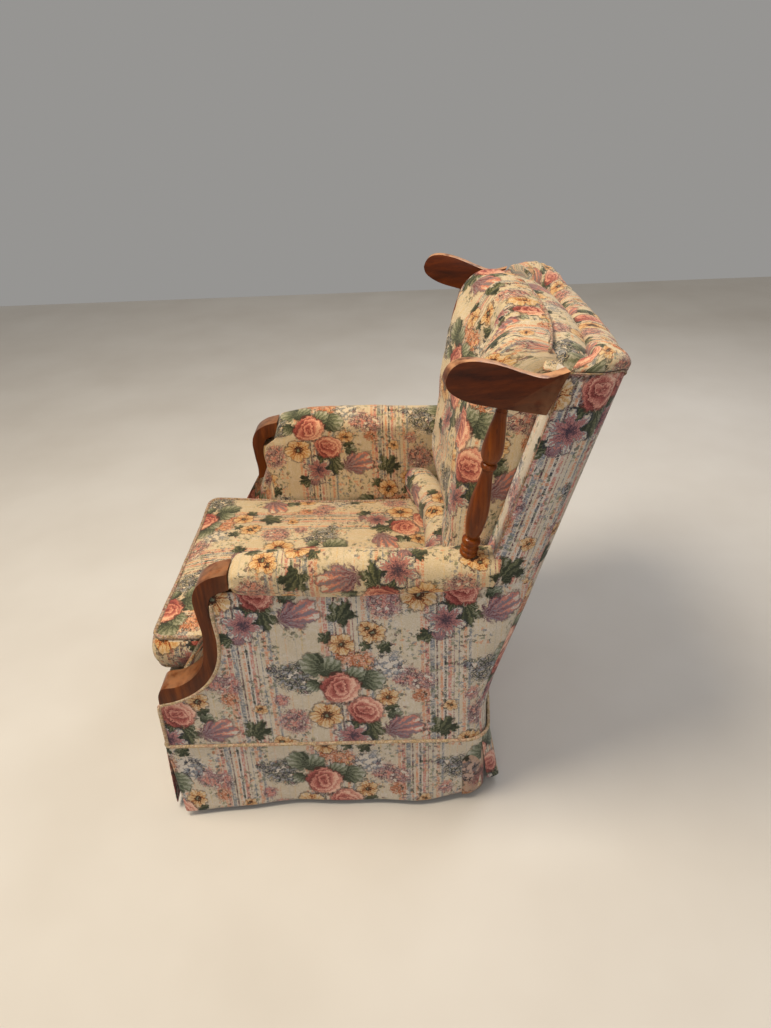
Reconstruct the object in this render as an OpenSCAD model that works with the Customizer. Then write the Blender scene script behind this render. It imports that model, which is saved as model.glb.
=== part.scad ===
// Upholstered wing armchair: hardwood frame, sprung seat and barrel back, loose seat cushion,
// shaped wooden arm fronts, wooden wings on turned spindles, and a tailored skirt.
// Millimetres. Front is -Y, the sitter's left is +X, up is +Z, the floor is z = 0.

/* [Body] */
// Width across the outside arm panels
body_width = 710; // [700:1:716]
// Half of the chair's depth, from the middle to the cushion front and to the crest
half_depth = 438; // [436:1:440]
// Height of the skirt's top edge and of the underside of the seat rails
skirt_top = 172; // [168:1:176]
// Gap between the skirt's hem and the floor
hem_gap = 12; // [8:1:18]

/* [Seat] */
// Half of the loose cushion's width
cushion_half_width = 279; // [274:1:280]
// Depth of the loose cushion
cushion_depth = 565; // [555:1:570]
// Thickness of the loose cushion at its seams
cushion_thickness = 78; // [70:1:80]
// Height of the cushion's lower front edge
cushion_bottom = 308; // [306:1:312]
// Backward slope of the seat, in degrees
seat_slope = 2; // [1.5:0.1:2.2]

/* [Back] */
// Backward lean of the back, in degrees
back_rake = 17; // [16.8:0.1:17.2]
// Length of the back along its lean, up to the crest's seam
back_length = 935; // [933:1:940]
// How far the barrel back curves over half of its width
back_sag = 45; // [44:1:46]

/* [Wood] */
// Width of the arm facings, across the chair
facing_width = 52; // [50:1:54]
// Thickness of the wing boards
wing_thickness = 22; // [20:1:22]
// Outward splay of the wings, in degrees
wing_splay = 10.1; // [9.8:0.1:10.4]

/* [Hidden] */
$fn = 48;

fit = 0.3;                                // clearance between neighbouring pieces
half_w = body_width / 2;                  // outer face of the outside arm panels
panel_t = 5;                              // fabric over card
frame_half = half_w - panel_t;            // outer face of the wooden frame
rail_t = 25;
rail_low = skirt_top - 12;
rail_high = 260;
base_front = -415;
wood_front = base_front + rail_t;
base_rear = 212;                          // middle of the rear rail
base_sag = 20;                            // fall of the rear rail's curve over half the width
skirt_rear_y = base_rear + 16;            // middle of the rear skirt panel
base_corner_r = 50;

post_inner = 293;
post_outer = 325;
post_front = 22;                          // distances behind the back's front plane
post_rear = 76;
back_seam = 61;                           // where the side borders meet the outside back
back_rear = 136;
crest_rear = back_rear + 6;
crest_low_step = 14;
back_corner_r = 80;
// Where the back's front plane meets the floor plane: the crest then ends at half_depth
back_foot_y = half_depth - crest_rear * cos(back_rake)
    - (back_length + fit + crest_low_step) * sin(back_rake);

arm_inner = 287;
stump_outer = frame_half - fit;
stump_inner = stump_outer - 45;
arm_rail_low = 480;
arm_rail_high = 512;
spindle_foot = [335, 160, 577];
spindle_head = [366, 207, 862];
wing_rear = [350, 303];                   // middle of the wing board's rear edge, in plan
wood_colour = [0.36, 0.17, 0.06];
frame_colour = [0.78, 0.64, 0.45];
fabric_colour = [0.80, 0.70, 0.58];
lining_colour = [0.25, 0.24, 0.22];
steel_colour = [0.55, 0.56, 0.58];

// ---- helpers ----

// Mirrors a piece that is drawn on the sitter's left over to the right
module on_side(side) {
    mirror([side == "right" ? 1 : 0, 0, 0]) children();
}

// A smooth curve through the points, with the first and last ones kept
function spline_point(a, b, c, d, t) =
    0.5 * ((2 * b) + (c - a) * t + (2 * a - 5 * b + 4 * c - d) * t * t
        + (3 * b - 3 * c + d - a) * t * t * t);
function spline(pts, steps = 5) = concat(
    [for (i = [0 : len(pts) - 2], k = [0 : steps - 1])
        spline_point(pts[max(i - 1, 0)], pts[i], pts[i + 1], pts[min(i + 2, len(pts) - 1)], k / steps)],
    [pts[len(pts) - 1]]);

// Extrudes a side outline, whose first axis is +Y and second is +Z, from x = from to x = to
module across(from, to) {
    translate([from, 0, 0])
        rotate([90, 0, 90])
            linear_extrude(to - from) children();
}

// The back's own frame: y runs behind its front plane and z runs up along its lean
module lean_back() {
    translate([0, back_foot_y, 0]) rotate([-back_rake, 0, 0]) children();
}

// The seat's own frame, at the cushion's lower front edge
module slope_seat() {
    translate([0, -half_depth, cushion_bottom]) rotate([-seat_slope, 0, 0]) children();
}

// Radius of an arc that falls by sag over frame_half
function barrel_r(sag = back_sag) = (frame_half * frame_half + sag * sag) / (2 * sag);

// Everything in plan in front of a barrel arc whose middle is at y = apex
module barrel(apex, sag = back_sag) {
    translate([0, apex - barrel_r(sag)]) circle(r = barrel_r(sag), $fn = 360);
}

function arc_y(apex, x, sag = back_sag) =
    apex - barrel_r(sag) + sqrt(pow(barrel_r(sag), 2) - x * x);

// Rear edge of a plan outline: a rounded corner, the curve, and the other corner
function rear_edge(half, rear, corner, sag, first = 0) =
    let (
        inner = half - corner,
        centre = rear - barrel_r(sag) + sqrt(pow(barrel_r(sag) - corner, 2) - inner * inner),
        last = atan2(centre - rear + barrel_r(sag), inner),
        turns = [for (i = [0 : 8]) first + (last - first) * i / 8]
    )
    concat(
        [for (a = turns) [inner + corner * cos(a), centre + corner * sin(a)]],
        [for (i = [10 : -1 : -10]) [inner * i / 11, arc_y(rear, inner * i / 11, sag)]],
        [for (i = [8 : -1 : 0])
            [-inner - corner * cos(turns[i]), centre + corner * sin(turns[i])]]
    );

// A plan outline with a straight front and sides and a curved rear edge
module plan_outline(half, front, rear, corner, sag = back_sag) {
    polygon(concat([[half, front]], rear_edge(half, rear, corner, sag), [[-half, front]]));
}

// The band between two plan outlines, set in by inset and inset + thickness
module plan_band(half, rear, corner, inset, thickness, front, sag = back_sag) {
    inner = inset + thickness;
    difference() {
        plan_outline(half - inset, front, rear - inset, corner - inset, sag);
        plan_outline(half - inner, front - 1, rear - inner, corner - inner, sag);
    }
}

module rounded_rect(w, h, r) {
    translate([r, 0]) square([w - 2 * r, h]);
    translate([0, r]) square([w, h - 2 * r]);
    for (x = [r, w - r], y = [r, h - r])
        translate([x, y]) circle(r = r);
}

// A zigzag spring of flat wire in the XY plane, running along +Y
module sinuous(length, width, pitch, wire) {
    loops = floor(length / pitch);
    for (i = [0 : loops - 1]) {
        side = i % 2 == 0 ? 1 : -1;
        translate([side * (width - pitch) / 2, (i + 0.5) * pitch, 0])
            difference() {
                circle(d = pitch + wire);
                circle(d = pitch - wire);
                translate([side > 0 ? -pitch : 0, -pitch]) square([pitch, 2 * pitch]);
            }
    }
    for (i = [0 : loops])
        translate([-(width - pitch) / 2, i * pitch - wire / 2]) square([width - pitch, wire]);
}

// ---- wooden frame ----

module front_rail() {
    color(frame_colour)
        translate([-frame_half + rail_t, base_front, rail_low])
            cube([2 * (frame_half - rail_t), rail_t, rail_high - rail_low]);
}

rear_rail_high = 205;
rear_rail_half = 322;

module rear_rail() {
    color(frame_colour)
        translate([0, 0, rail_low])
            linear_extrude(rear_rail_high - rail_low)
                difference() {
                    intersection() {
                        barrel(base_rear, base_sag);
                        translate([-rear_rail_half, 0]) square([2 * rear_rail_half, base_rear]);
                    }
                    barrel(base_rear - rail_t, base_sag);
                }
}

// Space inside the covers, ahead of the back's side seams, in the back's own frame
module inside_covers() {
    lean_back()
        linear_extrude(1000)
            intersection() {
                plan_outline(frame_half - fit, -600, back_rear - panel_t - fit,
                    back_corner_r - panel_t);
                translate([-half_w, -600]) square([2 * half_w, 600 + back_seam - fit]);
            }
}

module side_rail(side) {
    color(frame_colour)
        on_side(side)
            difference() {
                intersection() {
                    translate([frame_half - rail_t, base_front, rail_low])
                        cube([rail_t, 800, rail_high - rail_low]);
                    inside_covers();
                }
                rail_screw_places() rail_screw_shape(0.1);
            }
}

// Two screws hold each side rail to the foot of its back post
module rail_screw_places() {
    lean_back()
        for (z = [214, 252])
            translate([frame_half - 8, 50, z]) rotate([0, -90, 0]) children();
}

module rail_screw_shape(extra) {
    cylinder(h = 37, r = 3 + extra);
}

// Rail that carries the rear ends of the seat springs
seat_back_rail_y = 92;

module seat_back_rail() {
    color(frame_colour)
        translate([-post_inner + fit, seat_back_rail_y, leg_top])
            cube([2 * (post_inner - fit), rail_t, 50]);
}

block_leg = 70;
block_h = 40;

// Glue blocks that brace the corners and take the leg bolts
module corner_blocks() {
    color(frame_colour)
        for (side = ["left", "right"])
            on_side(side)
                translate([0, 0, leg_top])
                    linear_extrude(block_h)
                        difference() {
                            union() {
                                polygon([
                                    [frame_half - rail_t, wood_front],
                                    [frame_half - rail_t, wood_front + block_leg],
                                    [frame_half - rail_t - block_leg, wood_front]
                                ]);
                                translate([post_inner - 66, seat_back_rail_y + rail_t])
                                    square([66, 29]);
                            }
                            for (place = [leg_front, leg_rear])
                                translate(place) circle(r = bolt_r + 0.05);
                        }
}

leg_front = [frame_half - rail_t - 24, wood_front + 24];
leg_rear = [post_inner - 33, 126];
leg_top = rail_high - 70;
leg_w = 44;
glide_h = 5;
bolt_r = 4;

module leg(side, place) {
    color(wood_colour)
        on_side(side)
            translate(place) {
                translate([-leg_w / 2, -leg_w / 2, glide_h])
                    cube([leg_w, leg_w, leg_top - glide_h]);
                translate([0, 0, leg_top]) cylinder(h = bolt_r * 6, r = bolt_r);
            }
}

module leg_glides() {
    color(lining_colour)
        for (s = [-1, 1], place = [leg_front, leg_rear])
            translate([s * place[0], place[1], 0]) cylinder(h = glide_h, d = 28);
}

post_foot = 200;

module back_post(side) {
    color(frame_colour)
        on_side(side)
            difference() {
                lean_back()
                    translate([post_inner, post_front, post_foot])
                        cube([post_outer - post_inner - fit, post_rear - post_front,
                            back_length - 8 - post_foot]);
                rail_screw_places() rail_screw_shape(0);
                lean_back() wing_screw_places() wing_screw_shape(0.1);
            }
}

rail_apex = 120;

module back_cross_rail(low, high) {
    color(frame_colour)
        lean_back()
            translate([0, 0, low])
                linear_extrude(high - low)
                    difference() {
                        intersection() {
                            barrel(rail_apex);
                            translate([-post_inner, 0]) square([2 * post_inner, rail_apex]);
                        }
                        barrel(rail_apex - rail_t);
                    }
}

module back_top_rail() {
    back_cross_rail(back_length - 80, back_length - 8);
}

module back_lower_rail() {
    back_cross_rail(330, 400);
}

// ---- arm frame ----

// Front edge of the wooden facing, from its top to its toe, as [y, z]
facing_front = [
    [-248, 573], [-280, 565], [-304, 548], [-314, 522], [-312, 486], [-308, 448],
    [-312, 412], [-320, 376], [-344, 346], [-374, 328], [-402, 323], [-412, 308], [-414, 289]
];
// Back edge of the facing, from its toe to its top
facing_back = [
    [-414, 286], [-374, 296], [-334, 319], [-306, 352], [-291, 386], [-285, 424],
    [-286, 458], [-290, 490], [-287, 513], [-277, 530], [-248, 541]
];

// Front edge of the arm panels and of the stump, just behind the facing
panel_edge = [for (p = spline([for (i = [0 : 8]) facing_back[i]])) p + [0.5, -0.5]];

module arm_stump(side) {
    color(frame_colour)
        on_side(side)
            difference() {
                across(stump_inner, stump_outer)
                    polygon(concat(
                        [[base_front + 2, rail_high + fit]],
                        panel_edge,
                        [[-280, arm_rail_high], [-215, arm_rail_high], [-215, rail_high + fit]]
                    ));
                facing_screw_places() facing_screw_shape(0);
            }
}

module arm_rail(side) {
    color(frame_colour)
        on_side(side)
            difference() {
                translate([stump_inner, -215 + fit, arm_rail_low])
                    cube([45, 500, arm_rail_high - arm_rail_low]);
                lean_back()
                    translate([0, post_front - fit, 0]) cube([half_w, 500, 900]);
                spindle_axis()
                    translate([0, 0, -spindle_tenon]) cylinder(h = 200, r = tenon_r + 0.4, $fn = 12);
            }
}

// ---- springs ----

wire = 4;

module seat_springs() {
    color(steel_colour)
        slope_seat()
            for (x = [-200 : 100 : 200])
                translate([x, 40, -44])
                    linear_extrude(wire)
                        sinuous(500, 50, 20, wire);
}

// Height of the inner face of the back rails at a place across the chair
function rail_face(x) = rail_apex - rail_t - back_sag * (x * x) / (frame_half * frame_half);

module back_springs() {
    color(steel_colour)
        lean_back()
            for (x = [-200 : 100 : 200])
                translate([x, rail_face(x) - 4.5, 385])
                    rotate([90, 0, 0])
                        linear_extrude(wire)
                            sinuous(490, 46, 20, wire);
}

module spring_clips() {
    color(steel_colour) {
        slope_seat()
            for (x = [-200 : 100 : 200], y = [28, 543])
                translate([x - 8, y, -46]) cube([16, 9, 7]);
        lean_back()
            for (x = [-200 : 100 : 200], z = [372, 877])
                translate([x - 8, rail_face(x) - 10, z]) cube([16, 8, 8]);
    }
}

// ---- upholstery ----

deck_t = 26;

module seat_deck() {
    color(lining_colour)
        slope_seat()
            translate([-arm_inner + 1, 27, -deck_t - fit])
                cube([2 * (arm_inner - 1), 560, deck_t]);
}

module dust_cover() {
    color(lining_colour)
        translate([0, 0, rail_low - 3])
            linear_extrude(2.5)
                difference() {
                    plan_outline(frame_half - 9, base_front + 4, base_rear - 4, base_corner_r - 9,
                        base_sag);
                    for (s = [-1, 1], place = [leg_front, leg_rear])
                        translate([s * place[0], place[1]]) square(leg_w + 1, center = true);
                }
}

// Padded front of the seat, under the cushion and between the arm panels
module front_border() {
    color(fabric_colour)
        across(-frame_half + fit, frame_half - fit)
            polygon([
                [base_front - 7, skirt_top], [base_front - 7, 276],
                [base_front - 2, 281], [base_front - fit, 281], [base_front - fit, skirt_top]
            ]);
}

module inside_arm(side) {
    color(fabric_colour)
        on_side(side)
            intersection() {
                across(arm_inner + fit, stump_inner - fit)
                    polygon(concat(
                        [[-412, rail_high + 6]],
                        panel_edge,
                        [[-280, arm_rail_high], [400, arm_rail_high], [400, rail_high + 6]]
                    ));
                lean_back()
                    translate([0, -900, 0]) cube([half_w, 900 + 20, 900]);
            }
}

module outside_arm(side) {
    color(fabric_colour)
        on_side(side)
            intersection() {
                across(half_w - 120, half_w)
                    polygon(concat(
                        [[base_front - 5, skirt_top]],
                        panel_edge,
                        [[-284, arm_rail_high - 1], [400, arm_rail_high - 1], [400, skirt_top]]
                    ));
                lean_back()
                    linear_extrude(1000)
                        intersection() {
                            plan_band(half_w, back_rear, back_corner_r, 0, panel_t - fit, -900);
                            translate([0, -900]) square([half_w, 900 + back_seam - fit]);
                        }
            }
}

// Section of the arm's roll, from its lower inner corner
arm_section = [
    [3, 0], [76, 0], [79, 5], [79, 46], [76, 60], [67, 70], [52, 76], [27, 76], [12, 70], [3, 60],
    [0, 46], [0, 5]
];

module arm_pad(side) {
    color(fabric_colour)
        on_side(side)
            difference() {
                intersection() {
                    translate([arm_inner + fit, -246, arm_rail_high + fit])
                        rotate([-90, 0, 0])
                            mirror([0, 1, 0])
                                linear_extrude(500) polygon(arm_section);
                    across(0, 400)
                        polygon([
                            [-247, 400], [-247, 566], [-225, 577], [-190, 587], [-150, 591],
                            [300, 588], [300, 400]
                        ]);
                    lean_back()
                        translate([0, -900, 0]) cube([400, 900 - fit, 900]);
                }
                spindle_axis()
                    translate([0, 0, -spindle_tenon]) cylinder(h = 300, r = 17, $fn = 12);
            }
}

border_low = 561;
border_t = 9;

module side_border(side) {
    color(fabric_colour)
        on_side(side)
            difference() {
                lean_back()
                    translate([0, 0, border_low])
                        linear_extrude(back_length - border_low)
                            intersection() {
                                difference() {
                                    plan_outline(frame_half, 0, back_rear, back_corner_r);
                                    plan_outline(frame_half - border_t, border_t,
                                        back_rear - border_t, back_corner_r - border_t);
                                }
                                translate([post_inner - 6, 0]) square([100, back_seam - fit]);
                            }
                lean_back()
                    translate([post_outer - fit, -1, tongue_low - 1])
                        cube([wing_tongue_t + 2 * fit, border_t + 2, tongue_high - tongue_low + 2]);
            }
}

wrap_low = rear_rail_high + fit;
wrap_high = wrap_low + panel_t;

module outside_back() {
    color(fabric_colour)
        difference() {
            lean_back()
                translate([0, 0, 150])
                    linear_extrude(back_length - 150)
                        intersection() {
                            plan_band(frame_half, back_rear, back_corner_r, 0, panel_t, 0);
                            translate([-400, back_seam]) square([800, 200]);
                        }
            translate([-500, -500, -500]) cube([1000, 1500, 500 + wrap_high + fit]);
        }
}

// The outside back's lower edge, wrapped over the rear rail
module rear_wrap() {
    color(fabric_colour) {
        translate([0, 0, wrap_low])
            linear_extrude(panel_t)
                intersection() {
                    plan_outline(frame_half, 0, base_rear + 8, base_corner_r - 5, base_sag);
                    translate([-400, 173]) square([800, 200]);
                }
        translate([0, 0, skirt_top])
            linear_extrude(wrap_low - skirt_top)
                intersection() {
                    plan_band(frame_half, base_rear + 8, base_corner_r - 5, 0, panel_t, 0, base_sag);
                    translate([-400, 173]) square([800, 200]);
                }
    }
}

crest_front = 77;

// Plan of the crest, set in by inset: its front curve and the rear edge
function crest_plan(inset) =
    let (front_half = frame_half - inset * 1.25)
    concat(
        [for (i = [-12 : 12])
            [front_half * i / 12, arc_y(crest_front + inset, front_half * i / 12)]],
        rear_edge(frame_half - inset, crest_rear - inset, back_corner_r - inset, back_sag, 16)
    );

// Padded roll along the top of the barrel back
module crest_roll() {
    crest_steps = [[0, 0, crest_low_step], [crest_low_step, 5, 12], [crest_low_step + 12, 14, 8]];
    color(fabric_colour)
        lean_back()
            translate([0, 0, back_length + fit])
                for (step = crest_steps)
                    translate([0, 0, step[0]]) linear_extrude(step[2]) polygon(crest_plan(step[1]));
}

inside_back_apex = 60;

module inside_back() {
    color(lining_colour)
        difference() {
            lean_back()
                translate([0, 0, 300])
                    linear_extrude(back_length - 320)
                        difference() {
                            intersection() {
                                barrel(inside_back_apex + 22);
                                translate([-post_inner + 10, 12])
                                    square([2 * (post_inner - 10), 200]);
                            }
                            barrel(inside_back_apex);
                        }
            translate([-500, -500, 0]) cube([1000, 1500, rail_high + 42]);
        }
}

// Side outline of the pillow in the back's frame: puffed forward towards the top
pillow_outline = [
    [0, 478], [-34, 486], [-62, 540], [-84, 640], [-104, 760], [-110, 850],
    [-103, 912], [-74, 944], [-20, 958], [70, 958]
];
pillow_half = 272;

module back_pillow() {
    color(fabric_colour)
        difference() {
            lean_back()
                difference() {
                    across(-pillow_half, pillow_half)
                        polygon(concat([[70, 478]], spline(pillow_outline, 3)));
                    translate([0, 0, 400])
                        linear_extrude(700)
                            difference() {
                                translate([-400, -200]) square([800, 500]);
                                barrel(inside_back_apex - fit);
                            }
                }
            lean_back() button_place() translate([0, 0, -1]) cylinder(h = 300, r = 20);
        }
}

module button_place() {
    translate([0, -18, 862]) rotate([90, 0, 0]) children();
}

// Fabric-covered button that pulls the middle of the pillow in
module tuft_button() {
    color(fabric_colour)
        lean_back()
            button_place() {
                cylinder(h = 5, r = 14);
                translate([0, 0, 5]) cylinder(h = 4, r1 = 14, r2 = 7);
            }
}

lumbar_low = 381;
lumbar_high = 462;

module lumbar_roll() {
    lumbar_front = 92;
    color(fabric_colour)
        intersection() {
            translate([0, 0, lumbar_low])
                linear_extrude(lumbar_high - lumbar_low)
                    difference() {
                        translate([-pillow_half, 0]) square([2 * pillow_half, 400]);
                        barrel(lumbar_front);
                    }
            lean_back()
                translate([0, 0, 300])
                    linear_extrude(400)
                        intersection() {
                            barrel(inside_back_apex - fit);
                            translate([-400, -300]) square([800, 500]);
                        }
            lean_back()
                translate([-400, -300, 0]) cube([800, 600, 477]);
        }
}

// ---- show wood ----

module arm_facing(side) {
    color(wood_colour)
        on_side(side)
            difference() {
                across(frame_half + panel_t + 2 - facing_width, frame_half + panel_t + 2)
                    polygon(concat(spline(facing_front), spline(facing_back)));
                facing_screw_places() facing_screw_shape(0.1);
            }
}

// Screws run forward from inside the stump into the facing
module facing_screw_places() {
    for (place = [[-262, 445, 0], [-285, 330, 35], [-345, 278, 62]])
        translate([stump_inner + 18, place[0], place[1]])
            rotate([90 - place[2], 0, 0]) children();
}

module facing_screw_shape(extra) {
    cylinder(h = 38, r = 2.5 + extra);
}

module frame_screws() {
    color(steel_colour)
        for (side = ["left", "right"])
            on_side(side) {
                facing_screw_places() facing_screw_shape(0);
                rail_screw_places() rail_screw_shape(0);
            }
}

// Wing outline on its board: distance forward from the rear edge, and height
wing_top = [
    [0, 911], [35, 904], [68, 914], [96, 926], [122, 935], [148, 940], [168, 938], [181, 928],
    [187, 914]
];
wing_under = [[187, 914], [183, 900], [168, 887], [145, 876], [114, 867], [84, 859], [33, 846]];
wing_tongue_t = 13;
wing_tongue_end = 44;
tongue_low = 898;
tongue_high = 928;

module wing(side) {
    color(wood_colour)
        on_side(side)
            difference() {
                union() {
                    translate([wing_rear[0], wing_rear[1], 0])
                        rotate([0, 0, wing_splay])
                            translate([-wing_thickness / 2, 0, 0])
                                mirror([0, 1, 0])
                                    across(0, wing_thickness)
                                        polygon(concat(spline(wing_top), spline(wing_under)));
                    lean_back() {
                        translate([post_outer, -1, tongue_low])
                            cube([wing_tongue_t, wing_tongue_end + 1, tongue_high - tongue_low]);
                        translate([post_outer, -26, tongue_low])
                            cube([24, 26 - fit, tongue_high - tongue_low]);
                    }
                }
                lean_back() wing_screw_places() wing_screw_shape(0.1);
                spindle_axis() cylinder(h = spindle_length + 14, r = tenon_r + 0.02);
            }
}

module wing_screw_places() {
    for (z = [tongue_low + 8, tongue_high - 8])
        translate([post_inner, wing_tongue_end - 10, z]) children();
}

module wing_screw_shape(extra) {
    rotate([0, 90, 0]) cylinder(h = post_outer - post_inner + wing_tongue_t - 2, r = 2.5 + extra);
}

module wing_screws() {
    color(steel_colour)
        for (side = ["left", "right"])
            on_side(side)
                lean_back() wing_screw_places() wing_screw_shape(0);
}

spindle_length = norm(spindle_head - spindle_foot);
spindle_tenon = 82;
tenon_r = 8;

module spindle_axis() {
    v = spindle_head - spindle_foot;
    translate(spindle_foot)
        rotate([0, acos(v[2] / norm(v)), atan2(v[1], v[0])]) children();
}

// Radius of the turning at distances along it, from the arm up to the wing
vase = [
    [9, 48], [12.5, 54], [15.5, 70], [17.5, 95], [16, 125], [12, 152], [9.5, 173], [9.5, 181]
];
bulb = [[11, 195], [15.5, 204], [17, 218], [15.5, 236], [12.5, 258], [10, 272], [9, spindle_length - 6]];

module spindle(side) {
    bead = [for (a = [-70 : 20 : 70]) [11 + 5 * cos(a), 40 + 7 * sin(a)]];
    collar = [for (a = [-80 : 20 : 80]) [8 + 5.5 * cos(a), 188 + 6 * sin(a)]];
    discs = [for (i = [0 : 2], a = [-70 : 35 : 70]) [11.5 + 4 * cos(a), 5 + i * 10.5 + 4.6 * sin(a)]];
    color(wood_colour)
        on_side(side)
            spindle_axis()
                rotate_extrude()
                    polygon(concat(
                        [[0, -spindle_tenon + 2], [tenon_r, -spindle_tenon + 2], [tenon_r, -10],
                            [13, -10]],
                        discs, bead, spline(vase, 3), collar, spline(bulb, 3),
                        [[tenon_r, spindle_length - 6], [tenon_r, spindle_length + 12],
                            [0, spindle_length + 12]]
                    ));
}

// ---- skirt ----

skirt_t = 4;
skirt_h = skirt_top - hem_gap;
pleat_gap = 10;

module skirt_front() {
    color(fabric_colour)
        translate([-frame_half + 5, base_front - 7 - skirt_t, hem_gap])
            cube([2 * (frame_half - 5), skirt_t, skirt_h]);
}

module skirt_side(side) {
    color(fabric_colour)
        on_side(side)
            translate([0, 0, hem_gap])
                linear_extrude(skirt_h)
                    intersection() {
                        plan_band(half_w, skirt_rear_y, base_corner_r, 0, skirt_t, base_front - 2,
                            base_sag);
                        translate([200, base_front - 2]) square([200, 196 - base_front + 2]);
                    }
}

module skirt_rear() {
    color(fabric_colour)
        translate([0, 0, hem_gap])
            linear_extrude(skirt_h)
                intersection() {
                    plan_band(half_w, skirt_rear_y, base_corner_r, 0, skirt_t, 0, base_sag);
                    translate([-334, 100]) square([668, 200]);
                }
}

// Inner pieces that close the slits at the four corners
module corner_pleats() {
    color(fabric_colour)
        for (side = ["left", "right"])
            on_side(side)
                translate([0, 0, hem_gap + 3]) {
                    linear_extrude(skirt_h - 16)
                        difference() {
                            translate([frame_half - 62, base_front - 5]) square([61, 60]);
                            translate([frame_half - 70, base_front - 2]) square([66, 60]);
                        }
                    linear_extrude(skirt_h - 16)
                        intersection() {
                            plan_band(half_w, skirt_rear_y, base_corner_r, skirt_t + fit, 3, 0,
                                base_sag);
                            translate([270, 150]) square([100, 110]);
                        }
                }
}

module skirt_welt() {
    color(fabric_colour)
        translate([0, 0, skirt_top + fit])
            linear_extrude(6)
                difference() {
                    plan_outline(half_w + 3, base_front - 12, skirt_rear_y + 3, base_corner_r + 3,
                        base_sag);
                    plan_outline(half_w + fit, base_front - 7 - fit, skirt_rear_y, base_corner_r,
                        base_sag);
                }
}

// ---- loose cushion ----

module seat_cushion() {
    color(fabric_colour)
        slope_seat()
            translate([-cushion_half_width, 0, 0])
                linear_extrude(cushion_thickness)
                    rounded_rect(2 * cushion_half_width, cushion_depth, 22);
}

module cushion_zip() {
    color(steel_colour)
        slope_seat()
            translate([-200, cushion_depth + fit / 3, cushion_thickness / 2 - 4])
                cube([400, 1.5, 8]);
}

front_rail();
rear_rail();
side_rail("left");  // side_rail_left
side_rail("right");  // side_rail_right
seat_back_rail();
corner_blocks();
leg("left", leg_front);  // leg_front_left
leg("right", leg_front);  // leg_front_right
leg("left", leg_rear);  // leg_rear_left
leg("right", leg_rear);  // leg_rear_right
leg_glides();
back_post("left");  // back_post_left
back_post("right");  // back_post_right
back_top_rail();
back_lower_rail();
arm_stump("left");  // arm_stump_left
arm_stump("right");  // arm_stump_right
arm_rail("left");  // arm_rail_left
arm_rail("right");  // arm_rail_right
seat_springs();
back_springs();
spring_clips();
seat_deck();
dust_cover();
front_border();
inside_arm("left");  // inside_arm_left
inside_arm("right");  // inside_arm_right
outside_arm("left");  // outside_arm_left
outside_arm("right");  // outside_arm_right
arm_pad("left");  // arm_pad_left
arm_pad("right");  // arm_pad_right
side_border("left");  // side_border_left
side_border("right");  // side_border_right
outside_back();
rear_wrap();
crest_roll();
inside_back();
back_pillow();
lumbar_roll();
tuft_button();
arm_facing("left");  // arm_facing_left
arm_facing("right");  // arm_facing_right
frame_screws();
wing("left");  // wing_left
wing("right");  // wing_right
wing_screws();
spindle("left");  // spindle_left
spindle("right");  // spindle_right
skirt_front();
skirt_rear();
skirt_side("left");  // skirt_left
skirt_side("right");  // skirt_right
corner_pleats();
skirt_welt();
seat_cushion();
cushion_zip();
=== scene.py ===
"""Looks of the upholstered wing armchair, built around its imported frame. Metres."""
import math

import bpy
import bmesh
import numpy as np
from mathutils import Matrix, Vector
from mathutils.bvhtree import BVHTree
from mathutils.noise import noise


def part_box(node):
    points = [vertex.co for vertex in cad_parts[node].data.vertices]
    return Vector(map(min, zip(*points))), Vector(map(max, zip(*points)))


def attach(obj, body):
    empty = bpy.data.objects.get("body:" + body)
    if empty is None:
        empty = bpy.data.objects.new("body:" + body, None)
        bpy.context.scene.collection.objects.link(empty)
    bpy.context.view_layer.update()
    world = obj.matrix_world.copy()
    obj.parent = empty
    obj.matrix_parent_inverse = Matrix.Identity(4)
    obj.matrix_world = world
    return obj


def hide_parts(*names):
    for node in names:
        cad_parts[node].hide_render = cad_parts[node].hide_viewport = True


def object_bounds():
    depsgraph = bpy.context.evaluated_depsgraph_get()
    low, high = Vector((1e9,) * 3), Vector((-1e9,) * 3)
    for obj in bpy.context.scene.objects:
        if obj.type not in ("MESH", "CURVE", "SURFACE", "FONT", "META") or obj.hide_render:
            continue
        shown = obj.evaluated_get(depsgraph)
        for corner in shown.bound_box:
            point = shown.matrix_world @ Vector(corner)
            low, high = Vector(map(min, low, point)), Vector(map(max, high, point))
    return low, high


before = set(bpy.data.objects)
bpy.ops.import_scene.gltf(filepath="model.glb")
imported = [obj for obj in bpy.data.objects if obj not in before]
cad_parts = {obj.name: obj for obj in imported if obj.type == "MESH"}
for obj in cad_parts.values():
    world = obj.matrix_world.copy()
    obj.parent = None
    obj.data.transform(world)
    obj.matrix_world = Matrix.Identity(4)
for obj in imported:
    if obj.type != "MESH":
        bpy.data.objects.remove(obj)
cad_low, cad_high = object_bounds()
CHAIR = "chair_frame"
CUSHION = "loose_cushion"

# ---------------------------------------------------------------- numbers shared by the pieces

HALF_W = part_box("outside_arm_left")[1].x          # outer face of the arm panels
RAKE = math.radians(17)                            # backward lean of the back
COS, SIN = math.cos(RAKE), math.sin(RAKE)
BACK_LENGTH = 0.935                                # along the lean, up to the crest's seam
CREST_REAR = 0.142
BACK_REAR = 0.136
BACK_SAG = 0.045
CREST_CORNER = 0.080
CREST_INNER = 0.292                                # half the length of its inner edge
CREST_LOW = 0.9345                                 # the seam under it, round the back
BASE_SAG = 0.020
FRAME_HALF = HALF_W - 0.005
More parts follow.
